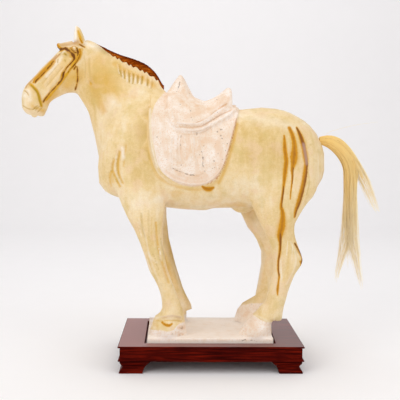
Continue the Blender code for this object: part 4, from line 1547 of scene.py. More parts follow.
def body_relief() -> list[Stroke]:
    """Breast folds, the saddle's rolls and leaves, tendons and the flutes that hold the mane.

    Returns:
        The strokes.
    """
    strokes = strokes_of(
        Where.BODY,
        # Raised: the breast's folds
        (3.0, 1.3, ((-147, 280), (-150, 262), (-145, 247), (-139, 236))),
        (6.0, 0.9, ((-143, 362), (-160, 350), (-172, 338))),
        # Rolls under the seat and the skirt
        (2.6, 2.0, ((-54, 331), (-35, 329.5), (-20, 331), (-4.5, 341), (19, 356.5))),
        (2.6, 1.8, ((-57.5, 322), (-35, 320), (-17, 322), (0, 331), (24, 344), (33, 353))),
        # Flap folds and the two leaves
        (1.5, 1.0, ((-63, 305), (-64, 285), (-62, 262))),
        (1.5, 0.9, ((-55, 312), (-56, 290), (-55, 264))),
        (1.6, 1.1, ((-50, 312), (-51, 290), (-47, 270))),
        (1.6, 1.1, ((-30, 318), (-28, 300), (-31, 280), (-36, 268))),
        (1.5, 1.0, ((-22, 318), (-19, 300), (-14, 285), (-13, 272), (-16, 262))),
        (1.4, 0.9, ((-24, 296), (-26, 282), (-24, 268))),
        # Rims of the cloth
        (2.2, 0.9, ((-93, 330), (-92, 306), (-86, 282), (-78, 258), (-54, 243), (-29, 238), (-9, 241),
                    (7, 254), (16, 269), (23, 293), (31, 322), (39, 348))),
        (2.6, 0.9, ((-99, 334), (-98, 304), (-92, 276), (-83, 256), (-64, 238))),
        # Tendons, knees, fetlocks and the cuffs over the hooves
        (3.0, 0.9, ((-112, 184), (-102, 156), (-94, 120), (-80, 84))),
        (2.6, 1.0, ((-78, 150), (-73, 126), (-58, 82))),
        (3.4, 0.8, ((-98, 132), (-92, 122), (-84, 116))),
        (3.4, 0.5, ((-96, 68), (-84, 63), (-72, 62))),
        (2.4, 1.2, ((-88, 27), (-76, 31), (-60, 33), (-45, 30))),
        (3.0, 0.9, ((122, 150), (130, 132), (131, 112), (118, 82))),
        (2.4, 1.0, ((52, 18), (69, 32), (82, 28), (94, 22))),
        (5.0, 0.6, ((-150, 214), (-130, 196), (-120, 178))),
        # Pressed in: the breast's folds and the throat
        (4.4, -1.7, ((-142, 286), (-145, 268), (-144, 252), (-138, 238))),
        (4.4, -1.6, ((-151, 274), (-154, 260), (-149, 246), (-142, 233))),
        (3.2, -1.2, ((-132, 296), (-135, 280), (-136, 264))),
        (3.0, -1.4, ((-156, 256), (-159, 244), (-157, 233))),
        (3.0, -0.9, ((-198, 412), (-195, 402), (-190, 392))),
        (7.0, -1.3, ((-190, 392), (-181, 372), (-168, 348))),
        # Creases above and between the rolls, and beside the folds
        (1.9, -2.0, ((-28, 330), (-12, 337), (-2, 344), (8, 353), (22, 362))),
        (1.7, -2.0, ((-50, 325), (-35, 324.5), (-18, 326), (-2, 335), (14, 345), (30, 353))),
        (1.7, -1.2, ((-56, 316), (-36, 314), (-18, 316), (-2, 325))),
        (1.4, -1.0, ((-59, 312), (-60, 290), (-58.5, 264))),
        (1.3, -0.8, ((-52.5, 312), (-53, 290), (-51, 268))),
        (2.6, -0.9, ((-41, 312), (-39, 296), (-40, 278))),
        (2.6, -0.8, ((-21, 286), (-19, 272))),
        (1.8, -1.1, ((-60, 262), (-50, 256), (-35, 252), (-22, 250), (-14, 254))),
        # Hollows of the legs and of the flank
        (3.6, -1.5, ((-86, 178), (-84, 150), (-79, 124), (-66, 84))),
        (2.4, -0.8, ((-92, 186), (-93, 162), (-89, 142))),
        (2.0, -1.6, ((-86, 24), (-70, 26), (-56, 26), (-46, 24))),
        (4.0, -0.8, ((112, 160), (118, 140), (120, 116), (112, 88))),
        (8.0, -0.7, ((62, 252), (78, 236), (88, 214), (90, 190))))
    # Flutes of clay that hold the mane along the crest, with a groove beside each
    flutes = (
        ((-150, 424), (-146, 410)), ((-142.5, 418), (-140, 402)), ((-135, 415), (-133.5, 397)),
        ((-127.5, 411), (-127.5, 395)), ((-120.5, 409), (-121, 394)), ((-113.5, 408), (-114, 393)),
        ((-105, 405), (-105, 391)), ((-97, 400), (-98, 388)),
    )
    for (top_x, top_z), (low_x, low_z) in flutes:
        beside = ((top_x + 3.6, top_z - 2), (low_x + 3.6, low_z))
        strokes += strokes_of(Where.BODY, (2.6, 1.5, ((top_x, top_z), (low_x, low_z))), (2.0, -1.1, beside))
    return strokes


def head_paint() -> dict[str, list[Stroke]]:
    """Colours of the bridle, the blaze, the forelock and the ears.

    Returns:
        The strokes of each colour.
    """
    head = Where.HEAD
    brown = drawn(
        head, 1.0,
        # From the browband down beside the cheek strap
        ((-233, 445, 1.6), (-229, 443.5, 2.4), (-225, 440, 2.6), (-222, 435, 2.2), (-220.5, 430.5, 1.5),
         (-224, 425, 1.1), (-229, 419.5, 1.1), (-234, 412.5, 1.3), (-237, 407, 1.6), (-238, 401, 1.4),
         (-241, 395.5, 1.2), (-248, 387.5, 1.1), (-256, 379, 1.1), (-263, 371, 1.0), (-268, 363, 0.9)),
        # Round the knob and below it
        ((-226, 447.5, 1.0), (-223, 443.5, 1.3), (-219, 440.5, 1.2), (-216.5, 440, 1.0)),
        ((-216.5, 447, 1.2), (-215, 443, 1.7), (-214.5, 438.5, 1.5), (-215.5, 435, 0.8)),
        ((-212, 437, 0.7), (-215, 429, 0.8), (-220, 421.5, 0.8), (-226, 414.5, 0.8), (-230, 409, 0.7)),
        ((-218, 418.5, 0.8), (-221, 414, 0.9)),
        # Throat lash, lower edge of the blaze, foot of the ear and underside of the forelock
        ((-216, 418, 0.8), (-216, 408, 0.9), (-215.5, 398, 0.9), (-217, 390, 0.9), (-218.5, 384, 0.8)),
        ((-252, 425.5, 1.6), (-256.5, 420.5, 2.4), (-260, 416, 1.5), (-265, 410, 0.9), (-271, 403.5, 0.9),
         (-278, 396.5, 1.2), (-280, 392.5, 0.7)),
        ((-212, 454, 0.8), (-204, 450.5, 0.8)),
        ((-246, 448, 1.2), (-241, 444.5, 1.6), (-236, 446, 1.4), (-231, 447, 1.2)),
        ((-247, 452, 0.7), (-244, 448, 1.4), (-239, 447, 1.2), (-233, 448.5, 0.8)))
    amber = drawn(
        head, 1.0,
        ((-255, 425, 2.0), (-259, 418.5, 3.4), (-265, 412, 4.0), (-272, 404.5, 4.0), (-279, 397.5, 3.4),
         (-283, 393, 1.4)),
        ((-211.5, 446, 2.0), (-212, 440, 3.0), (-213.5, 433, 3.0), (-217.5, 426, 2.2), (-222, 419, 1.2)),
        ((-238.5, 409, 1.0), (-239.5, 403, 1.8), (-241, 397, 0.8)),
        ((-247, 452, 1.5), (-245, 447, 2.2), (-240, 444, 2.0), (-234, 446, 1.2)),
        ((-225, 447, 0.8), (-222, 450, 0.8), (-218, 449, 0.8), (-216, 445, 0.8)),
        ((-213, 466, 0.5), (-210.5, 461, 1.3), (-208, 457, 1.6)),
        # Tip of the forelock
        ((-247, 455, 2.6), (-245, 451, 3.0), (-242, 448, 2.4)))
    yellow = strokes_of(
        head,
        (4.5, 1.2, ((-214, 474), (-211, 466), (-208, 458))),
        (5.5, 1.5, ((-213, 438), (-224, 419), (-235, 402), (-251, 381), (-264, 367))),
        (4.4, 1.5, ((-287, 390), (-277, 378.5), (-273, 365), (-271, 357))),
        (3.5, 1.0, ((-208, 447), (-209, 440), (-212, 431))),
        (22.0, 0.45, ((-235, 425), (-262, 395))),
        (22.0, 0.75, ((-232, 392), (-218, 405))),
        (9.0, 0.7, ((-247, 380), (-262, 362))),
        (14.0, 0.35, ((-286, 382), (-282, 362))),
        (6.0, 0.6, ((-284, 356), (-275, 352), (-268, 350))))
    # Olive along the noseband and in the creases of the eye, nostril, mouth and pressed cheek marks, partly
    # glaze pooled there and partly painted shade
    olive_and_shade = strokes_of(
        head,
        (1.0, 1.6, ((-286, 388, 1.4), (-281.5, 383, 2.2), (-277, 377.5, 2.4), (-274.5, 371, 2.6),
                    (-273.5, 364, 2.2), (-271, 357, 1.6))),
        (3.0, 1.0, ((-235, 437.5), (-233, 436))),
        (1.8, 0.7, ((-235, 428), (-234, 426))),
        (1.4, 0.9, ((-245, 429), (-246, 424))),
        (1.2, 0.7, ((-243, 437), (-239, 441))),
        # Painted shade down the throat behind the cheek
        (3.0, 0.3, ((-197, 432), (-197, 414), (-195, 398), (-189, 384))),
        (2.0, 0.25, ((-205, 436), (-203, 420), (-204, 402))),
        (1.2, 0.7, ((-299, 357), (-293, 353), (-285, 351), (-277, 354))),
        (1.6, 0.6, ((-297, 380), (-293, 377), (-290, 373))),
        *[(0.9, 0.8, line) for line in LIP_CREASES],
        *[(1.1, 0.45, cheek_mark(k)) for k in (1, 3, 5)])
    wash = strokes_of(
        head,
        (7.0, 0.65, ((-241, 453), (-231, 453.5), (-222, 456), (-215, 457))),
        (2.4, 1.0, ((-243, 437), (-249, 431), (-256, 424))),
        (2.2, 0.8, ((-247, 436), (-258, 424.5), (-270, 412), (-283, 399), (-292, 389.5))),
        (1.6, 0.9, ((-293, 388.5, 1.4), (-294.5, 384, 1.8))),
        (3.5, 0.7, ((-223, 441), (-219, 436), (-218, 430))))
    pale = strokes_of(
        head,
        (3.6, 1.3, ((-219, 482), (-218.5, 472), (-218.5, 460))),
        (5.0, 0.6, ((-203, 458), (-196, 455), (-188, 450))),
        (7.0, 0.5, ((-296, 372), (-290, 380), (-288, 366))),
        (5.0, 0.5, ((-240, 432), (-250, 418), (-262, 403))))
    return {"brown": brown, "amber": amber, "yellow": yellow, "olive_and_shade": olive_and_shade, "wash": wash, "pale": pale}


def body_paint() -> dict[str, list[Stroke]]:
    """Runs on the haunch, stains round the saddle, and thick and thin glaze on the legs.

    Returns:
        The strokes of each colour.
    """
    body = Where.BODY
    amber = drawn(
        body, 1.0,
        # The three runs down the haunch, from front to back
        ((110, 313, 1.6), (110.5, 300, 3.0), (111, 290, 3.6), (113, 275, 3.8), (112, 262, 3.9),
         (111, 250, 3.2), (110, 240, 2.4), (108.5, 228, 2.0), (107, 215, 2.0), (106, 205, 2.4),
         (108.5, 195, 3.6), (109, 183, 5.0), (108, 172, 6.2), (105.5, 160, 5.2), (106, 150, 2.8),
         (106.5, 140, 2.2), (106, 130, 2.0), (104.5, 118, 1.7), (104.5, 105, 1.5), (106, 95, 1.5),
         (105, 85, 1.5), (104, 75, 2.0), (104, 64, 0.8)),
        ((119, 325, 3.0), (123, 315, 3.6), (125.5, 303, 4.2), (126, 293, 5.2), (125.5, 284, 6.8),
         (125, 276, 6.3), (124, 268, 4.2), (122.5, 260, 2.6), (123, 250, 1.8), (122, 238, 1.4),
         (120.5, 225, 1.2), (120, 216, 0.9)),
        ((131, 326, 1.8), (135, 317, 3.4), (138, 307, 4.4), (140, 300, 4.4), (142, 290, 4.4), (144, 280, 4.4),
         (145, 272, 3.6), (144, 262, 3.8), (142.6, 250, 4.2), (140.6, 240, 3.9), (137.8, 228, 4.0),
         (135.2, 218, 4.2), (132.6, 208, 3.8), (129.6, 198, 2.9), (128.2, 188, 1.8)),
        # Small runs on the near hoof and hock
        ((-76, 23.5, 1.4), (-71, 20.5, 2.2), (-65, 19, 2.2), (-60, 21.5, 1.4)),
        ((139, 118, 1.6), (142, 114, 2.6), (141, 111, 1.6)),
        side=-1)
    amber += drawn(body, 0.5, ((-15, 234, 1.6), (-10, 231, 3.4), (-4, 230, 4.2), (2, 232.5, 2.0)), side=-1)
    brown = drawn(body, 1.0, ((130, 146, 0.9), (137, 135, 1.3), (143, 124, 1.2), (142, 115, 1.2)), side=-1)
    brown += drawn(body, 1.0, ((60, 190, 0.6), (63, 187, 1.0), (67, 184, 0.5)), side=1)
    core = drawn(
        body, 1.0,
        ((109.5, 236, 0.8), (109.5, 224, 1.7), (108, 212, 1.7), (107.5, 203, 0.9)),
        ((106.5, 162, 0.8), (107.2, 150, 1.6), (107, 138, 1.0), (105, 118, 0.9), (106, 95, 0.8)),
        ((124.5, 264, 0.8), (124.5, 252, 1.2), (123.5, 240, 1.0)),
        ((131.5, 325, 1.2), (136, 314, 2.0), (139.5, 304, 2.6), (141.5, 298, 2.0)),
        ((146.5, 274, 1.2), (146.5, 262, 1.8), (145.2, 250, 1.8), (143.2, 240, 1.6), (140.4, 228, 1.5),
         (138, 218, 1.5), (135, 208, 1.5), (131.8, 198, 1.3), (129.6, 188, 0.9)),
        side=-1)
    yellow = strokes_of(
        body,
        (4.5, 0.4, ((-96, 356), (-99, 331), (-99, 305), (-96, 282), (-88, 257), (-76, 243), (-56, 234))),
        (4.0, 0.45, ((-56, 234), (-30, 229), (-8, 232), (10, 244))),
        (4.5, 0.75, ((10, 240), (20, 262), (30, 296), (38, 330))),
        (9.0, 0.75, ((-154, 426), (-140, 416), (-124, 409), (-108, 403), (-92, 392))),
        (34.0, 0.5, ((-182, 430), (-170, 402), (-156, 378))),
        (7.0, 0.25, ((-93, 10), (-88, 6), (-84, 4))),
        (6.0, 0.4, ((-92, 22), (-84, 18))),
        (6.0, 0.5, ((-158, 250), (-154, 240))),
        (2.4, 0.8, ((-104, 240), (-104, 232)), -1),
        (8.0, 0.7, ((30, 208), (44, 204)), -1),
        (9.0, 0.5, ((-60, 222), (-30, 218))),
        (3.5, 0.4, ((45, 2), (90, 4))))
    olive_and_shade = strokes_of(
        body,
        # Folds of the breast, olive partly as pooled glaze and partly as painted shade
        (1.8, 0.4, ((-143, 286), (-146, 268), (-145, 252), (-139, 238))),
        (1.6, 0.35, ((-152, 276), (-155, 260), (-150, 246), (-143, 233))),
        (1.2, 0.9, ((-106, 232), (-104, 227)), -1),
        # Painted shade in the hollows and along the edges of the legs, and on the far legs where the near
        # ones shade them
        (1.0, 0.45, ((-108, 192, 2.5), (-107.5, 172, 3.0), (-103, 155, 2.0))),
        (2.0, 0.3, ((-97, 196), (-97, 172), (-96, 152))),
        (2.4, 0.5, ((-79, 152), (-76, 136), (-71, 118), (-62, 96), (-53, 70))),
        (1.2, 0.5, ((-90, 130), (-85, 114), (-82, 104))),
        (3.0, 0.25, ((87, 150), (92, 130), (93, 108), (90, 84), (85, 62)), 1),
        (6.5, 0.9, ((-66, 204), (-68, 180), (-68, 150), (-62, 120), (-54, 92)), 1),
        (7.0, 0.8, ((-56, 96), (-46, 70), (-34, 34)), 1),
        # Faint streaks behind the runs
        (1.5, 0.5, ((152, 300), (157, 285), (156, 265), (153, 250))),
        (1.5, 0.5, ((160, 300), (162, 285), (158, 262))),
        (1.6, 0.4, ((148, 262), (150, 240), (146, 222))),
        (1.4, 0.5, ((-98, 356), (-101, 331), (-101, 300), (-96, 275))))
    # Grooves beside the flutes, olive all along, partly pooled glaze and partly painted shade, and brown at
    # the top of the last two
    grooves = (
        ((-146, 415), (-142, 404)), ((-139, 413), (-137, 396)), ((-131, 410), (-130, 395)),
        ((-124, 408), (-125, 393)), ((-117, 406), (-117, 394)), ((-110, 406), (-111, 394)),
        ((-101, 401), (-102, 391)),
    )
    olive_and_shade += strokes_of(body, *[(1.8, 0.9, line) for line in grooves])
    brown += drawn(body, 1.0, *[((x, z - 1, 0.6), (x + 0.5, z - 5, 0.2)) for (x, z), _ in grooves[5:]])
    wash = strokes_of(
        body,
        (2.6, 0.9, ((177, 311), (176, 304), (175, 299))),
        (4.0, 0.9, ((60, 182), (64, 190), (68, 196)), 1),
        (2.5, 0.9, ((57, 176), (62, 170)), 1),
        (3.0, 0.6, ((-76, 30), (-60, 33), (-48, 30))),
        (5.0, 0.5, ((72, 40), (60, 34), (54, 26)), 1))
    pale = strokes_of(
        body,
        # Thin glaze on the breast, before the cloth, the croup and the legs, and whiter slip on the slab at
        # the hooves' feet, partly painted light
        (5.0, 0.8, ((-168, 346), (-160, 355), (-150, 363), (-141, 370))),
        (3.6, 0.7, ((-96, 352), (-95, 322), (-92, 292), (-84, 264))),
        (12.0, 0.35, ((40, 345), (70, 342), (100, 335), (125, 325))),
        # The slab's top and front, whitened partly as whiter slip and partly as painted light where the horse
        # and the stand shade them
        (3.0, 1.0, ((-97, 0), (97, 0))),
        (9.0, 1.0, ((-99, -9), (99, -9))),
        (4.0, 0.7, ((-138, 292), (-136, 276))),
        (9.0, 0.6, ((-118, 212), (-98, 215), (-80, 212))),
        (5.0, 0.5, ((-30, 201), (4, 202))),
        (7.0, 0.45, ((-122, 222), (-108, 220), (-96, 222))),
        (1.2, 0.5, ((-113, 178), (-108, 155))),
        (1.5, 0.5, ((-100, 120), (-93, 100))),
        (1.3, 0.6, ((-70, 130), (-60, 100), (-52, 70))),
        (5.0, 0.5, ((86, 152), (91, 128), (90, 100), (84, 66)), 1),
        (1.0, 0.9, ((-83, 141, 0.8), (-80, 133, 1.6), (-79, 125, 2.2), (-77, 117, 1.2)), -1),
        (1.4, 0.6, ((118, 150), (117, 128)), -1),
        (1.2, 0.5, ((126, 145), (125, 120)), -1),
        (2.0, 0.5, ((108, 120), (110, 90)), -1))
    return {"brown": brown, "core": core, "amber": amber, "yellow": yellow, "olive_and_shade": olive_and_shade, "wash": wash,
            "pale": pale}


def horse_paint() -> GlazePaint:
    """Glaze, runs, stains and bare slip, placed as they lie on the horse.

    Returns:
        Every colour's strokes and the borders of the bare slip.
    """
    body = Where.BODY
    on_head, on_body = head_paint(), body_paint()
    colours = {name: on_head.get(name, []) + strokes for name, strokes in on_body.items()}
    colours["plum"] = strokes_of(body, (5.0, 0.95, ((141, 300), (143, 290), (145, 279), (146, 271)), -1))
    colours["stain"] = drawn(
        body, 1.0,
        ((36, 338, 4.0), (33, 325, 5.0), (28, 300, 5.5), (20, 275, 5.5), (12, 252, 6.0), (-5, 238, 6.0)),
        side=-1)
    colours["rub_and_shade"] = drawn(
        body, 0.55,
        # Painted shade, in rose: at the leaves, along the cloth's rear and lower edge, under the rolls and at
        # the pommel's foot
        ((-46, 310, 5.0), (-48, 290, 6.0), (-46, 272, 4.0)),
        ((-37, 312, 4.0), (-35, 290, 5.0), (-40, 276, 4.0)), ((-12, 306, 8.0), (6, 300, 9.0), (14, 276, 8.0)),
        ((4, 342, 3.0), (16, 352, 5.0), (26, 372, 5.0)), ((-34, 249, 3.0), (-24, 251, 3.0), (-15, 256, 3.0)),
        ((38, 345, 3.0), (30, 318, 4.0), (24, 292, 5.0), (15, 264, 6.0), (0, 247, 6.0), (-26, 241, 6.0),
         (-52, 246, 6.0), (-70, 256, 5.0)),
        ((-70, 374, 4.0), (-74, 366, 4.0), (-70, 356, 4.0)), ((-40, 340, 9.0), (-14, 350, 6.0)),
        ((-12, 352, 5.0), (6, 358, 6.0), (20, 374, 5.0)), ((-50, 252, 6.0), (-30, 246, 7.0), (-8, 250, 6.0)))
    colours["dirt"] = drawn(
        body, 1.0,
        ((-51, 397, 1.0), (-52, 391, 1.2), (-54, 385, 0.7)),
        # Dark lines along the saddle's creases and folds
        ((-17, 288, 0.6), (-15, 280, 1.0), (-15, 264, 1.1)),
        ((-60, 262, 0.8), (-53, 258, 1.0), (-46, 256, 0.7)),
        ((-42, 254, 0.6), (-32, 252, 0.9), (-24, 251, 0.5)),
        ((-48, 312, 0.5), (-49, 300, 0.7), (-48, 290, 0.4)), ((-24, 318, 0.5), (-24, 312, 0.8)),
        # Marks on the slab's edge and on the near forefoot
        ((44, -1, 0.8), (48, -4, 0.9), (53, -2, 0.9), (58, -5, 1.0), (64, -3, 1.0), (70, -6, 0.8)),
        ((-47, 15, 1.8), (-45, 14, 1.8)), ((-48, 4, 1.4), (-45, 3, 1.4)),
        # Pits
        *[((x, z, radius), (x + 0.4, z, radius)) for x, z, radius in (
            (7, 318, 1.7), (13, 321, 1.6), (12, 312, 1.3), (14, 308, 1.2), (4, 300, 1.0), (2, 274, 1.2),
            (-34, 349, 1.2), (-34, 252, 1.1), (-85, 309, 1.2), (-80, 300, 0.9), (19, 290, 1.0), (7, 244, 1.2),
            (10, 262, 1.0), (15, 276, 1.1), (22, 300, 0.9), (-62, 266, 1.0), (-12, 258, 1.0), (-44, 250, 1.0),
            (0, 262, 0.9), (8, 285, 0.8), (-60, 6, 1.3), (60, -9, 1.2), (68, -10, 1.4), (76, -9, 1.1))],
        side=-1)
    colours["rub_and_shade"] += drawn(
        body, 1.0, ((-50, 15, 4.0), (-43, 14, 4.5)), ((-49, 5, 4.0), (-44, 4, 4.0)), side=-1)
    # Thicker and thinner glaze; the patches on the throat, on the neck under the jaw and on the croup and
    # haunch darken as painted shade, and those on the belly and lower flank lighten as painted light
    tones_and_painted_light = (
        (-176, 392, 28, 38, -1.15), (-186, 372, 14, 20, -0.8), (-176, 356, 9, 9, -0.9),
        (-150, 412, 26, 12, -0.35), (-152, 358, 14, 6, 1.0), (-112, 350, 24, 26, 0.1),
        (-104, 300, 30, 50, -0.2), (-130, 300, 18, 40, 0.05), (-117, 285, 12, 40, -0.45),
        (-192, 442, 14, 18, 0.5), (-166, 300, 12, 40, 0.1), (-96, 262, 22, 34, -0.45),
        (-40, 210, 60, 22, 0.35), (60, 306, 34, 46, -0.5), (96, 296, 34, 44, -0.75),
        (88, 350, 50, 10, 0.1), (62, 232, 34, 30, 0.4), (100, 190, 30, 50, -0.25),
        (110, 150, 30, 90, -0.1), (-112, 214, 24, 30, 0.2), (-92, 140, 20, 50, -0.2),
        (-284, 372, 24, 26, 0.35), (-252, 404, 22, 26, 0.35),
    )
    border = (
        (-71, 392), (-75, 381), (-84, 368), (-91, 354), (-94, 338), (-93, 322), (-90, 298), (-83, 268),
        (-73, 252), (-59, 242), (-45, 236), (-28, 234), (-12, 237), (3, 244), (13, 257), (20, 276),
        (28, 305), (36, 332), (42, 351), (45, 372), (46, 392),
    )
    return GlazePaint(
        **colours, tones_and_painted_light=tones_and_painted_light, cloth_border=border,
        near_fore_line=((-110, 6), (-100, 8), (-88, 11), (-76, 12), (-68, 10), (-58, 12), (-50, 21),
                        (-30, 22)),
        far_fore_line=((-110, 10), (-60, 12), (-30, 12)),
        near_hind_line=((20, 2), (44, 3), (50, 24), (58, 27), (68, 32), (80, 26), (92, 22), (120, 22)),
        far_hind_line=((20, 22), (50, 24), (60, 29), (72, 33), (90, 33), (120, 34)))


# Hair


def strands_mesh(name: str, paths: Points, radii: Points, shade: Points, sides: int = 3) -> Mesh:
    """Make one mesh of many fine closed tubes.

    Args:
        name: Name of the mesh.
        paths: Strand, step and position, in millimetres.
        radii: Radius of each strand at each step.
        shade: One number for each strand, for its own colour.
        sides: How many sides a strand has.

    Returns:
        The mesh, with the shares along and the shades kept on its vertices.
    """
    count, steps = paths.shape[:2]
    heading = np.gradient(paths, axis=1)
    heading /= np.maximum(np.linalg.norm(heading, axis=2, keepdims=True), 1e-9)
    aside = np.cross(heading, np.array((0.13, 0.97, 0.2)))
    aside /= np.maximum(np.linalg.norm(aside, axis=2, keepdims=True), 1e-9)
    upward = np.cross(heading, aside)
    angles = np.arange(sides) * 2 * math.pi / sides
    around = (aside[:, :, None, :] * np.cos(angles)[None, None, :, None]
              + upward[:, :, None, :] * np.sin(angles)[None, None, :, None])
    points = paths[:, :, None, :] + around * radii[:, :, None, None]
    strand = np.arange(count)[:, None, None] * steps * sides
    step = np.arange(steps - 1)[None, :, None] * sides
    turn = np.arange(sides)[None, None, :]
    after = (turn + 1) % sides
    faces = np.stack([strand + step + turn, strand + step + after,
                      strand + step + sides + after, strand + step + sides + turn], axis=3).reshape(-1, 4)
    first = (strand[:, 0, :] + turn[0, :, ::-1]).reshape(-1, sides)
    last = (strand[:, 0, :] + (steps - 1) * sides + turn[0]).reshape(-1, sides)
    mesh = bpy.data.meshes.new(name)
    polygons = faces.tolist() + first.tolist() + last.tolist()
    mesh.from_pydata((points.reshape(-1, 3) * MM).tolist(), [], polygons)
    shade_smooth(mesh)
    along = np.linspace(0, 1, steps)[None, :, None]
    write_attribute(mesh, "along", np.broadcast_to(along, (count, steps, sides)))
    write_attribute(mesh, "shade", np.broadcast_to(shade[:, None, None], (count, steps, sides)))
    return mesh


def walk(table: Points, shares: Points) -> Points:
    """Read a table at shares of its length.

    Args:
        table: Rows that begin with x and z.
        shares: Places from 0 at the start to 1 at the end.

    Returns:
        One row for each place.
    """
    runs = np.hypot(*np.diff(table[:, :2], axis=0).T)
    length = np.concatenate(((0.0,), np.cumsum(runs)))
    length /= length[-1]
    return np.stack([np.interp(shares, length, table[:, k]) for k in range(table.shape[1])], axis=-1)


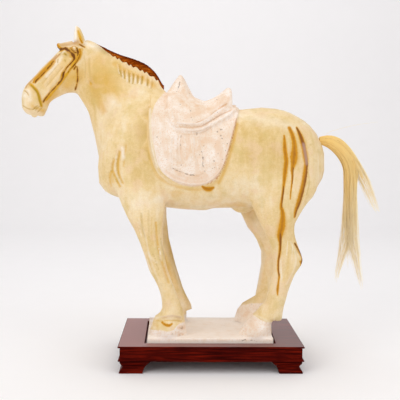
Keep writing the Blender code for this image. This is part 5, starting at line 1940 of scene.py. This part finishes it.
@dataclass
class HorsehairTail:
    """The tail: one bound root that parts into locks of combed hair, with loose strands round them."""

    slab_top: tuple[float, float, float]
    strand_radius: float = 0.30
    steps: int = 26
    lock_steps: int = 90
    lock_sides: int = 110
    comb_depth: float = 0.09
    seed: int = 7
    flatness: float = 0.85
    # Locks: x, z and radius along each, from the root to the tip, how many loose strands,
    # and where along it the combed body ends and leaves the rest to loose strands
    locks: tuple = (
        (((176, 306, 4.0), (190, 303.5, 6.5), (202, 296.5, 7.5), (215, 283, 8.0), (224, 265.5, 8.2),
          (226, 243, 7.8), (226, 220, 7.0), (225.5, 200, 7.2), (225, 180, 7.3), (224.3, 160, 7.0),
          (221.5, 140, 6.3), (216.5, 120, 4.4), (211.5, 100, 3.0), (207, 75, 1.6)), 170, 0.60),
        (((176, 308, 4.0), (191, 307.5, 7.0), (205, 301.5, 7.5), (220, 288.5, 8.0), (231, 269, 8.0),
          (230, 243, 7.4), (229.5, 220, 7.0), (230, 200, 7.2), (231, 180, 7.2), (232, 160, 7.0),
          (234, 140, 6.2), (239.5, 120, 4.4), (243, 100, 3.2), (248.5, 78, 2.4), (251.5, 64, 1.6)),
         170, 0.60),
        (((176, 309, 4.0), (191.5, 309.5, 6.0), (207, 305, 6.0), (222, 291.5, 5.6), (235, 271, 6.0),
          (249, 246, 5.6), (260, 222, 4.6), (270, 200, 3.2), (276, 190, 2.0)), 130, 0.62),
        (((177, 308, 4.2), (190, 307, 6.0), (206, 298, 7.4), (220, 281, 8.4), (228, 258, 8.4),
          (229, 235, 8.0), (228.5, 205, 7.2), (228, 175, 6.0), (228, 148, 5.0), (229, 125, 4.4),
          (230, 100, 3.4)), 150, 0.50),
    )
    # One stray wisp over the croup: x, z
    stray: Rows = ((186, 315), (191, 321), (213, 328), (240, 334), (270, 338))
    stray_y: float = -2.0
    stray_radius: float = 0.12

    def lay(self, table: Points, shares: Points, angle: Points, out: Points) -> Points:
        """Places in a lock.

        Args:
            table: The lock's rows.
            shares: Shares of its length.
            angle: Angle round its middle line at each share.
            out: Distance from the middle line, in shares of the radius.

        Returns:
            The places in millimetres.
        """
        path = walk(table, shares)
        ahead = walk(table, np.clip(shares + 0.01, 0, 1)) - walk(table, np.clip(shares - 0.01, 0, 1))
        across = np.stack((-ahead[..., 1], ahead[..., 0]), axis=-1)
        across /= np.maximum(np.linalg.norm(across, axis=-1, keepdims=True), 1e-9)
        lift = (path[..., 2] * out * np.cos(angle))[..., None] * across
        return np.stack((path[..., 0] + lift[..., 0], path[..., 2] * self.flatness * out * np.sin(angle),
                         path[..., 1] + lift[..., 1]), axis=-1)

    def combed_body(self, table: Points, length: float, chance: np.random.Generator) -> Mesh:
        """Closed body of one lock, grooved along its length as if combed.

        Args:
            table: The lock's rows.
            length: Share of the lock's length that the body takes.
            chance: Source of the grooves' places.

        Returns:
            The body's mesh.
        """
        shares = np.linspace(0, length, self.lock_steps)[:, None]
        angle = np.linspace(0, 2 * math.pi, self.lock_sides, endpoint=False)[None, :]
        groove = np.zeros((self.lock_steps, self.lock_sides))
        shade = np.zeros((self.lock_steps, self.lock_sides))
        for count in (6, 11, 21, 40):
            phase = chance.uniform(0, 2 * math.pi)
            sway = chance.uniform(-1.5, 1.5) * shares + 0.5 * np.sin(shares * chance.uniform(4, 9) + phase)
            wave = np.sin(count * angle + phase + sway * 2.2)
            groove += wave / 4
            shade += wave * chance.uniform(0.5, 1.0) / 3
        radius = np.maximum(walk(table, shares[:, 0])[:, 2][:, None], 0.6)
        ending = 1.0 - 0.6 * ease((shares / length - 0.72) / 0.28)
        out = (0.94 + groove * np.minimum(self.comb_depth / radius, 0.12)) * ending
        along, around = np.broadcast_to(shares, groove.shape), np.broadcast_to(angle, groove.shape)
        mesh = mesh_from_rings("combed_lock", [self.lay(table, along, around, out).tolist()])
        # Darker near the root, and darkest on its underside, which is painted shade; the grooves show less
        # towards the tip
        rooted = 0.03 + 0.3 * ease((0.6 - shares) / 0.5)
        painted_underside_shade = (0.5 - 0.5 * np.cos(angle)) * ease((0.36 - shares) / 0.34)
        contrast = 0.45 + 1.1 * ease((0.5 - shares) / 0.4)
        write_attribute(mesh, "along", along)
        write_attribute(mesh, "shade", np.clip(rooted + 0.8 * painted_underside_shade - 1.1 * contrast * shade, 0, 1))
        return mesh

    def build(self, finish: Horsehair) -> Piece:
        """Comb the tail.

        Args:
            finish: The hair's colours.

        Returns:
            The finished object.
        """
        chance = np.random.default_rng(self.seed)
        shares = np.linspace(0, 1, self.steps)
        bodies, paths, radii, shades = [], [], [], []
        for rows, count, length in self.locks:
            table = smooth_rows(rows, 5)
            phase = chance.uniform(0, 2 * math.pi)
            bodies.append(self.combed_body(table, length, chance))
            for _ in range(count):
                angle = chance.uniform(0, 2 * math.pi)
                loose = chance.uniform(0, 1) ** 1.5
                wander = angle + 0.5 * np.sin(shares * chance.uniform(2, 6) + angle) * shares
                out = 0.95 + 0.10 * loose + (0.15 + 0.9 * loose) * shares ** 1.7 * chance.uniform(0.1, 1.3)
                paths.append(self.lay(table, shares * chance.uniform(0.72, 1.0), wander, out))
                radii.append(self.strand_radius * (1.0 - 0.66 * shares ** 1.5) * chance.uniform(0.7, 1.2))
                streak = math.sin(5 * angle + phase) + 0.6 * math.sin(9 * angle - phase)
                shades.append(0.18 + 0.42 * streak * (1.0 - 0.7 * loose) + chance.uniform(-0.3, 0.3))
        wisp = walk(smooth_rows(self.stray, 6), shares)
        paths.append(np.stack((wisp[:, 0], np.full(self.steps, self.stray_y), wisp[:, 1]), axis=1))
        radii.append(np.full(self.steps, self.stray_radius))
        shades.append(0.0)
        strands = strands_mesh("horsehair_tail", np.array(paths), np.array(radii), np.array(shades))
        strand_faces = len(strands.polygons)
        mesh = join_meshes("horsehair_tail", [strands, *bodies])
        put_points(mesh, mesh_points(mesh) + np.array(self.slab_top))
        mesh.polygons.foreach_set("use_smooth", np.arange(len(mesh.polygons)) >= strand_faces)
        tail = add_piece("horsehair_tail", mesh)
        mesh.materials.append(finish.build())
        return tail


@dataclass
class HorsehairMane:
    """The mane: short stiff hair set in the crest's groove and swept back along it."""

    slab_top: tuple[float, float, float]
    crest: Rows
    thickness: float = 7.0
    sweep: float = 20.0
    strands: int = 2400
    steps: int = 8
    seed: int = 11
    strand_radius: float = 0.40
    seat_depth: float = 3.0

    def build(self, finish: Horsehair) -> Piece:
        """Set and comb the mane.

        Args:
            finish: The hair's colours.

        Returns:
            The finished object.
        """
        chance = np.random.default_rng(self.seed)
        x_row, top_row, low_row, share_row = smooth_rows(self.crest, 5).T
        shares = np.linspace(0, 1, self.steps)
        start = chance.uniform(x_row[0] - 4, x_row[-1] - 3, self.strands)
        level = chance.uniform(0.0, 0.75, self.strands)
        side = chance.uniform(-1, 1, self.strands)
        length = self.sweep * chance.uniform(0.7, 1.2, self.strands)
        x = start[:, None] + length[:, None] * shares[None, :]
        x = np.clip(x, x_row[0] + 0.5, x_row[-1] + 1.5)
        low = np.interp(x, x_row, low_row) - self.seat_depth
        top = np.interp(x, x_row, top_row) + chance.uniform(-0.8, 1.5, self.strands)[:, None]
        rise = level[:, None] + (1.0 - level[:, None]) * shares[None, :] ** 0.8
        half = np.interp(x, x_row, share_row) * self.thickness / 2 - 0.3
        z = low + (top - low) * rise
        y = side[:, None] * half * (1.0 - 0.62 * rise ** 2)
        paths = np.stack((x, y, z), axis=2) + np.array(self.slab_top) / MM
        taper = self.strand_radius * (1.0 - 0.55 * shares[None, :])
        radii = taper * chance.uniform(0.8, 1.2, (self.strands, 1))
        mesh = strands_mesh("horsehair_mane", paths, radii, chance.uniform(0, 1, self.strands))
        mane = add_piece("horsehair_mane", mesh)
        mesh.materials.append(finish.build())
        return mane


# The stand


@dataclass
class HardwoodStand:
    """The stand's packed boards, eased at their edges and grained along their length."""

    ease_width: float = 0.7
    ease_steps: int = 3
    ease_above: float = math.radians(32)

    def dress(self, nodes: dict) -> None:
        """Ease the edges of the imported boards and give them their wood.

        Args:
            nodes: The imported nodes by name.
        """
        # Only the top board has the painted reflection laid into its upper faces; the other boards have none
        # and are dull
        board = LacqueredRosewood("lacquered_rosewood_board", 0).build()
        dull = {"painted_sheen_amount": (0.0, 0.0), "upright_gloss": 0.015, "upper_gloss": 0.015}
        lengthwise = LacqueredRosewood("lacquered_rosewood_lengthwise", 0, **dull).build()
        crosswise = LacqueredRosewood("lacquered_rosewood_crosswise", 1, **dull).build()
        for name, node in nodes.items():
            if not name.startswith("stand_"):
                continue
            cross = name.endswith("apron_left") or name.endswith("apron_right")
            wood = board if name == "stand_top" else crosswise if cross else lengthwise
            node.data.materials.clear()
            node.data.materials.append(wood)
            weld = node.modifiers.new("joined_corners", "WELD")
            weld.merge_threshold = 0.01 * MM
            soften = node.modifiers.new("eased_edges", "BEVEL")
            soften.width = self.ease_width * MM
            soften.segments = self.ease_steps
            soften.limit_method = "ANGLE"
            soften.angle_limit = self.ease_above
            soften.harden_normals = False
            LOG.info("dressed %s", name)


# The room


@dataclass
class Studio:
    """Pale paper sweep, soft lights and the camera, placed by the stand."""

    stand_middle: tuple[float, float]
    camera_offset: tuple[float, float, float] = (-44.12144165, -1129.80073556, 332.91371158)
    yaw: float = math.radians(1.376364)
    pitch: float = math.radians(3.75609438)
    roll: float = math.radians(0.48322321)
    lens: float = 62.73
    sensor_width: float = 36.0
    clip: tuple[float, float] = (0.05, 20.0)
    surround: str = "#F3F1F3"
    surround_strength: float = 0.60
    sweep_back: float = 1900.0
    sweep_radius: float = 600.0
    sweep_front: float = -3000.0
    half_width: float = 3600.0
    sweep_height: float = 4000.0
    sweep_steps: int = 12

    def add_sweep(self) -> Piece:
        """Lay the paper: flat under the object, curving up behind it.

        Returns:
            The sweep.
        """
        profile = [(self.sweep_front, 0.0), (self.sweep_back, 0.0)]
        for k in range(1, self.sweep_steps + 1):
            angle = math.pi / 2 * k / self.sweep_steps
            profile.append((self.sweep_back + self.sweep_radius * math.sin(angle),
                            self.sweep_radius * (1 - math.cos(angle))))
        profile.append((self.sweep_back + self.sweep_radius, self.sweep_height))
        build = bmesh.new()
        rows = []
        for x in np.linspace(-self.half_width, self.half_width, 9):
            rows.append([build.verts.new((x * MM, y * MM, z * MM)) for y, z in profile])
        for left, right in zip(rows, rows[1:]):
            for i in range(len(left) - 1):
                build.faces.new((left[i], right[i], right[i + 1], left[i + 1]))
        mesh = bpy.data.meshes.new("studio_paper")
        build.to_mesh(mesh)
        build.free()
        shade_smooth(mesh)
        mesh.materials.append(StudioPaper().build())
        paper = add_piece("studio_paper", mesh)
        return paper

    def add_light(self, name: str, place: tuple, target: tuple, size: float, power: float,
                  colour: str) -> None:
        """Hang one soft box.

        Args:
            name: Its name.
            place: Where it hangs, in metres.
            target: What it faces.
            size: Side of the box in metres.
            power: Its power in watts.
            colour: Its sRGB hex colour.
        """
        lamp = bpy.data.lights.new(name, "AREA")
        lamp.shape = "SQUARE"
        lamp.size = size
        lamp.energy = power
        lamp.color = linear(colour)[:3]
        made = bpy.data.objects.new(name, lamp)
        made.location = place
        made.rotation_euler = (Vector(target) - Vector(place)).to_track_quat("-Z", "Y").to_euler()
        bpy.context.scene.collection.objects.link(made)

    def add_camera(self) -> None:
        """Set up the camera where the photograph was taken from."""
        camera = bpy.data.cameras.new("camera")
        camera.lens = self.lens
        camera.sensor_width = self.sensor_width
        camera.sensor_fit = "HORIZONTAL"
        camera.clip_start, camera.clip_end = self.clip
        ahead = Vector((math.sin(self.yaw) * math.cos(self.pitch), math.cos(self.yaw) * math.cos(self.pitch),
                        -math.sin(self.pitch)))
        level = Vector((math.cos(self.yaw), -math.sin(self.yaw), 0.0))
        upright = level.cross(ahead)
        right = level * math.cos(self.roll) + upright * math.sin(self.roll)
        up = -level * math.sin(self.roll) + upright * math.cos(self.roll)
        turn = Matrix((right, up, -ahead)).transposed().to_4x4()
        x, y, z = (value * MM for value in self.camera_offset)
        turn.translation = Vector((self.stand_middle[0] + x, self.stand_middle[1] + y, z))
        made = bpy.data.objects.new("camera", camera)
        made.matrix_world = turn
        bpy.context.scene.collection.objects.link(made)
        bpy.context.scene.camera = made

    def build(self) -> None:
        """Set up the room."""
        self.add_sweep()
        self.add_light("top_box", (0.0, -0.25, 1.9), (0.0, 0.0, 0.25), 1.8, 10.0, "#FFFFFF")
        self.add_light("left_box", (-1.5, -1.5, 1.1), (0.0, 0.0, 0.28), 1.4, 14.4, "#FFFDFA")
        self.add_light("right_box", (1.7, -1.2, 0.9), (0.0, 0.0, 0.28), 1.4, 8.6, "#FFFFFF")
        self.add_light("paper_box", (0.0, 1.1, 2.6), (0.0, 2.6, 1.5), 2.2, 13.0, "#FFFFFF")
        world = bpy.data.worlds.new("pale_room")
        world.use_nodes = True
        background = world.node_tree.nodes["Background"]
        plug(world.node_tree, background,
             {"Color": linear(self.surround), "Strength": self.surround_strength})
        bpy.context.scene.world = world
        bpy.context.scene.view_settings.view_transform = "Standard"
        self.add_camera()


def main() -> None:
    """Build every piece in order and report it."""
    logging.basicConfig(level=logging.INFO, format="%(message)s")
    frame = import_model()
    low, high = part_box("stand_top")
    middle = ((low[0] + high[0]) / 2, (low[1] + high[1]) / 2)
    slab_proud = 7.3 * MM
    slab_top = (middle[0], middle[1], high[2] + slab_proud)

    horse = PotteryHorse(slab_top)
    shape = horse.build(LeadGlazedEarthenware(), head_relief() + body_relief(), horse_paint())
    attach(shape, BODY)
    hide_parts("horse")
    LOG.info("built the horse with %d faces", len(shape.data.polygons))

    brown = Horsehair("brown_horsehair", "#E2821E", "#B24E08", "#601F00", "#481300", 0.03)
    mane = HorsehairMane(slab_top, horse.crest).build(brown)
    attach(mane, BODY)
    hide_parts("mane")
    LOG.info("built the mane with %d faces", len(mane.data.polygons))

    blond = Horsehair("blond_horsehair", "#FFDC8A", "#FFE4A0", "#FFF2D2", "#A8660A", 0.06)
    tail = HorsehairTail(slab_top).build(blond)
    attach(tail, BODY)
    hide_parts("tail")
    LOG.info("built the tail with %d faces", len(tail.data.polygons))

    HardwoodStand().dress(frame["nodes"])
    Studio(middle).build()


if __name__ == "__main__":
    main()
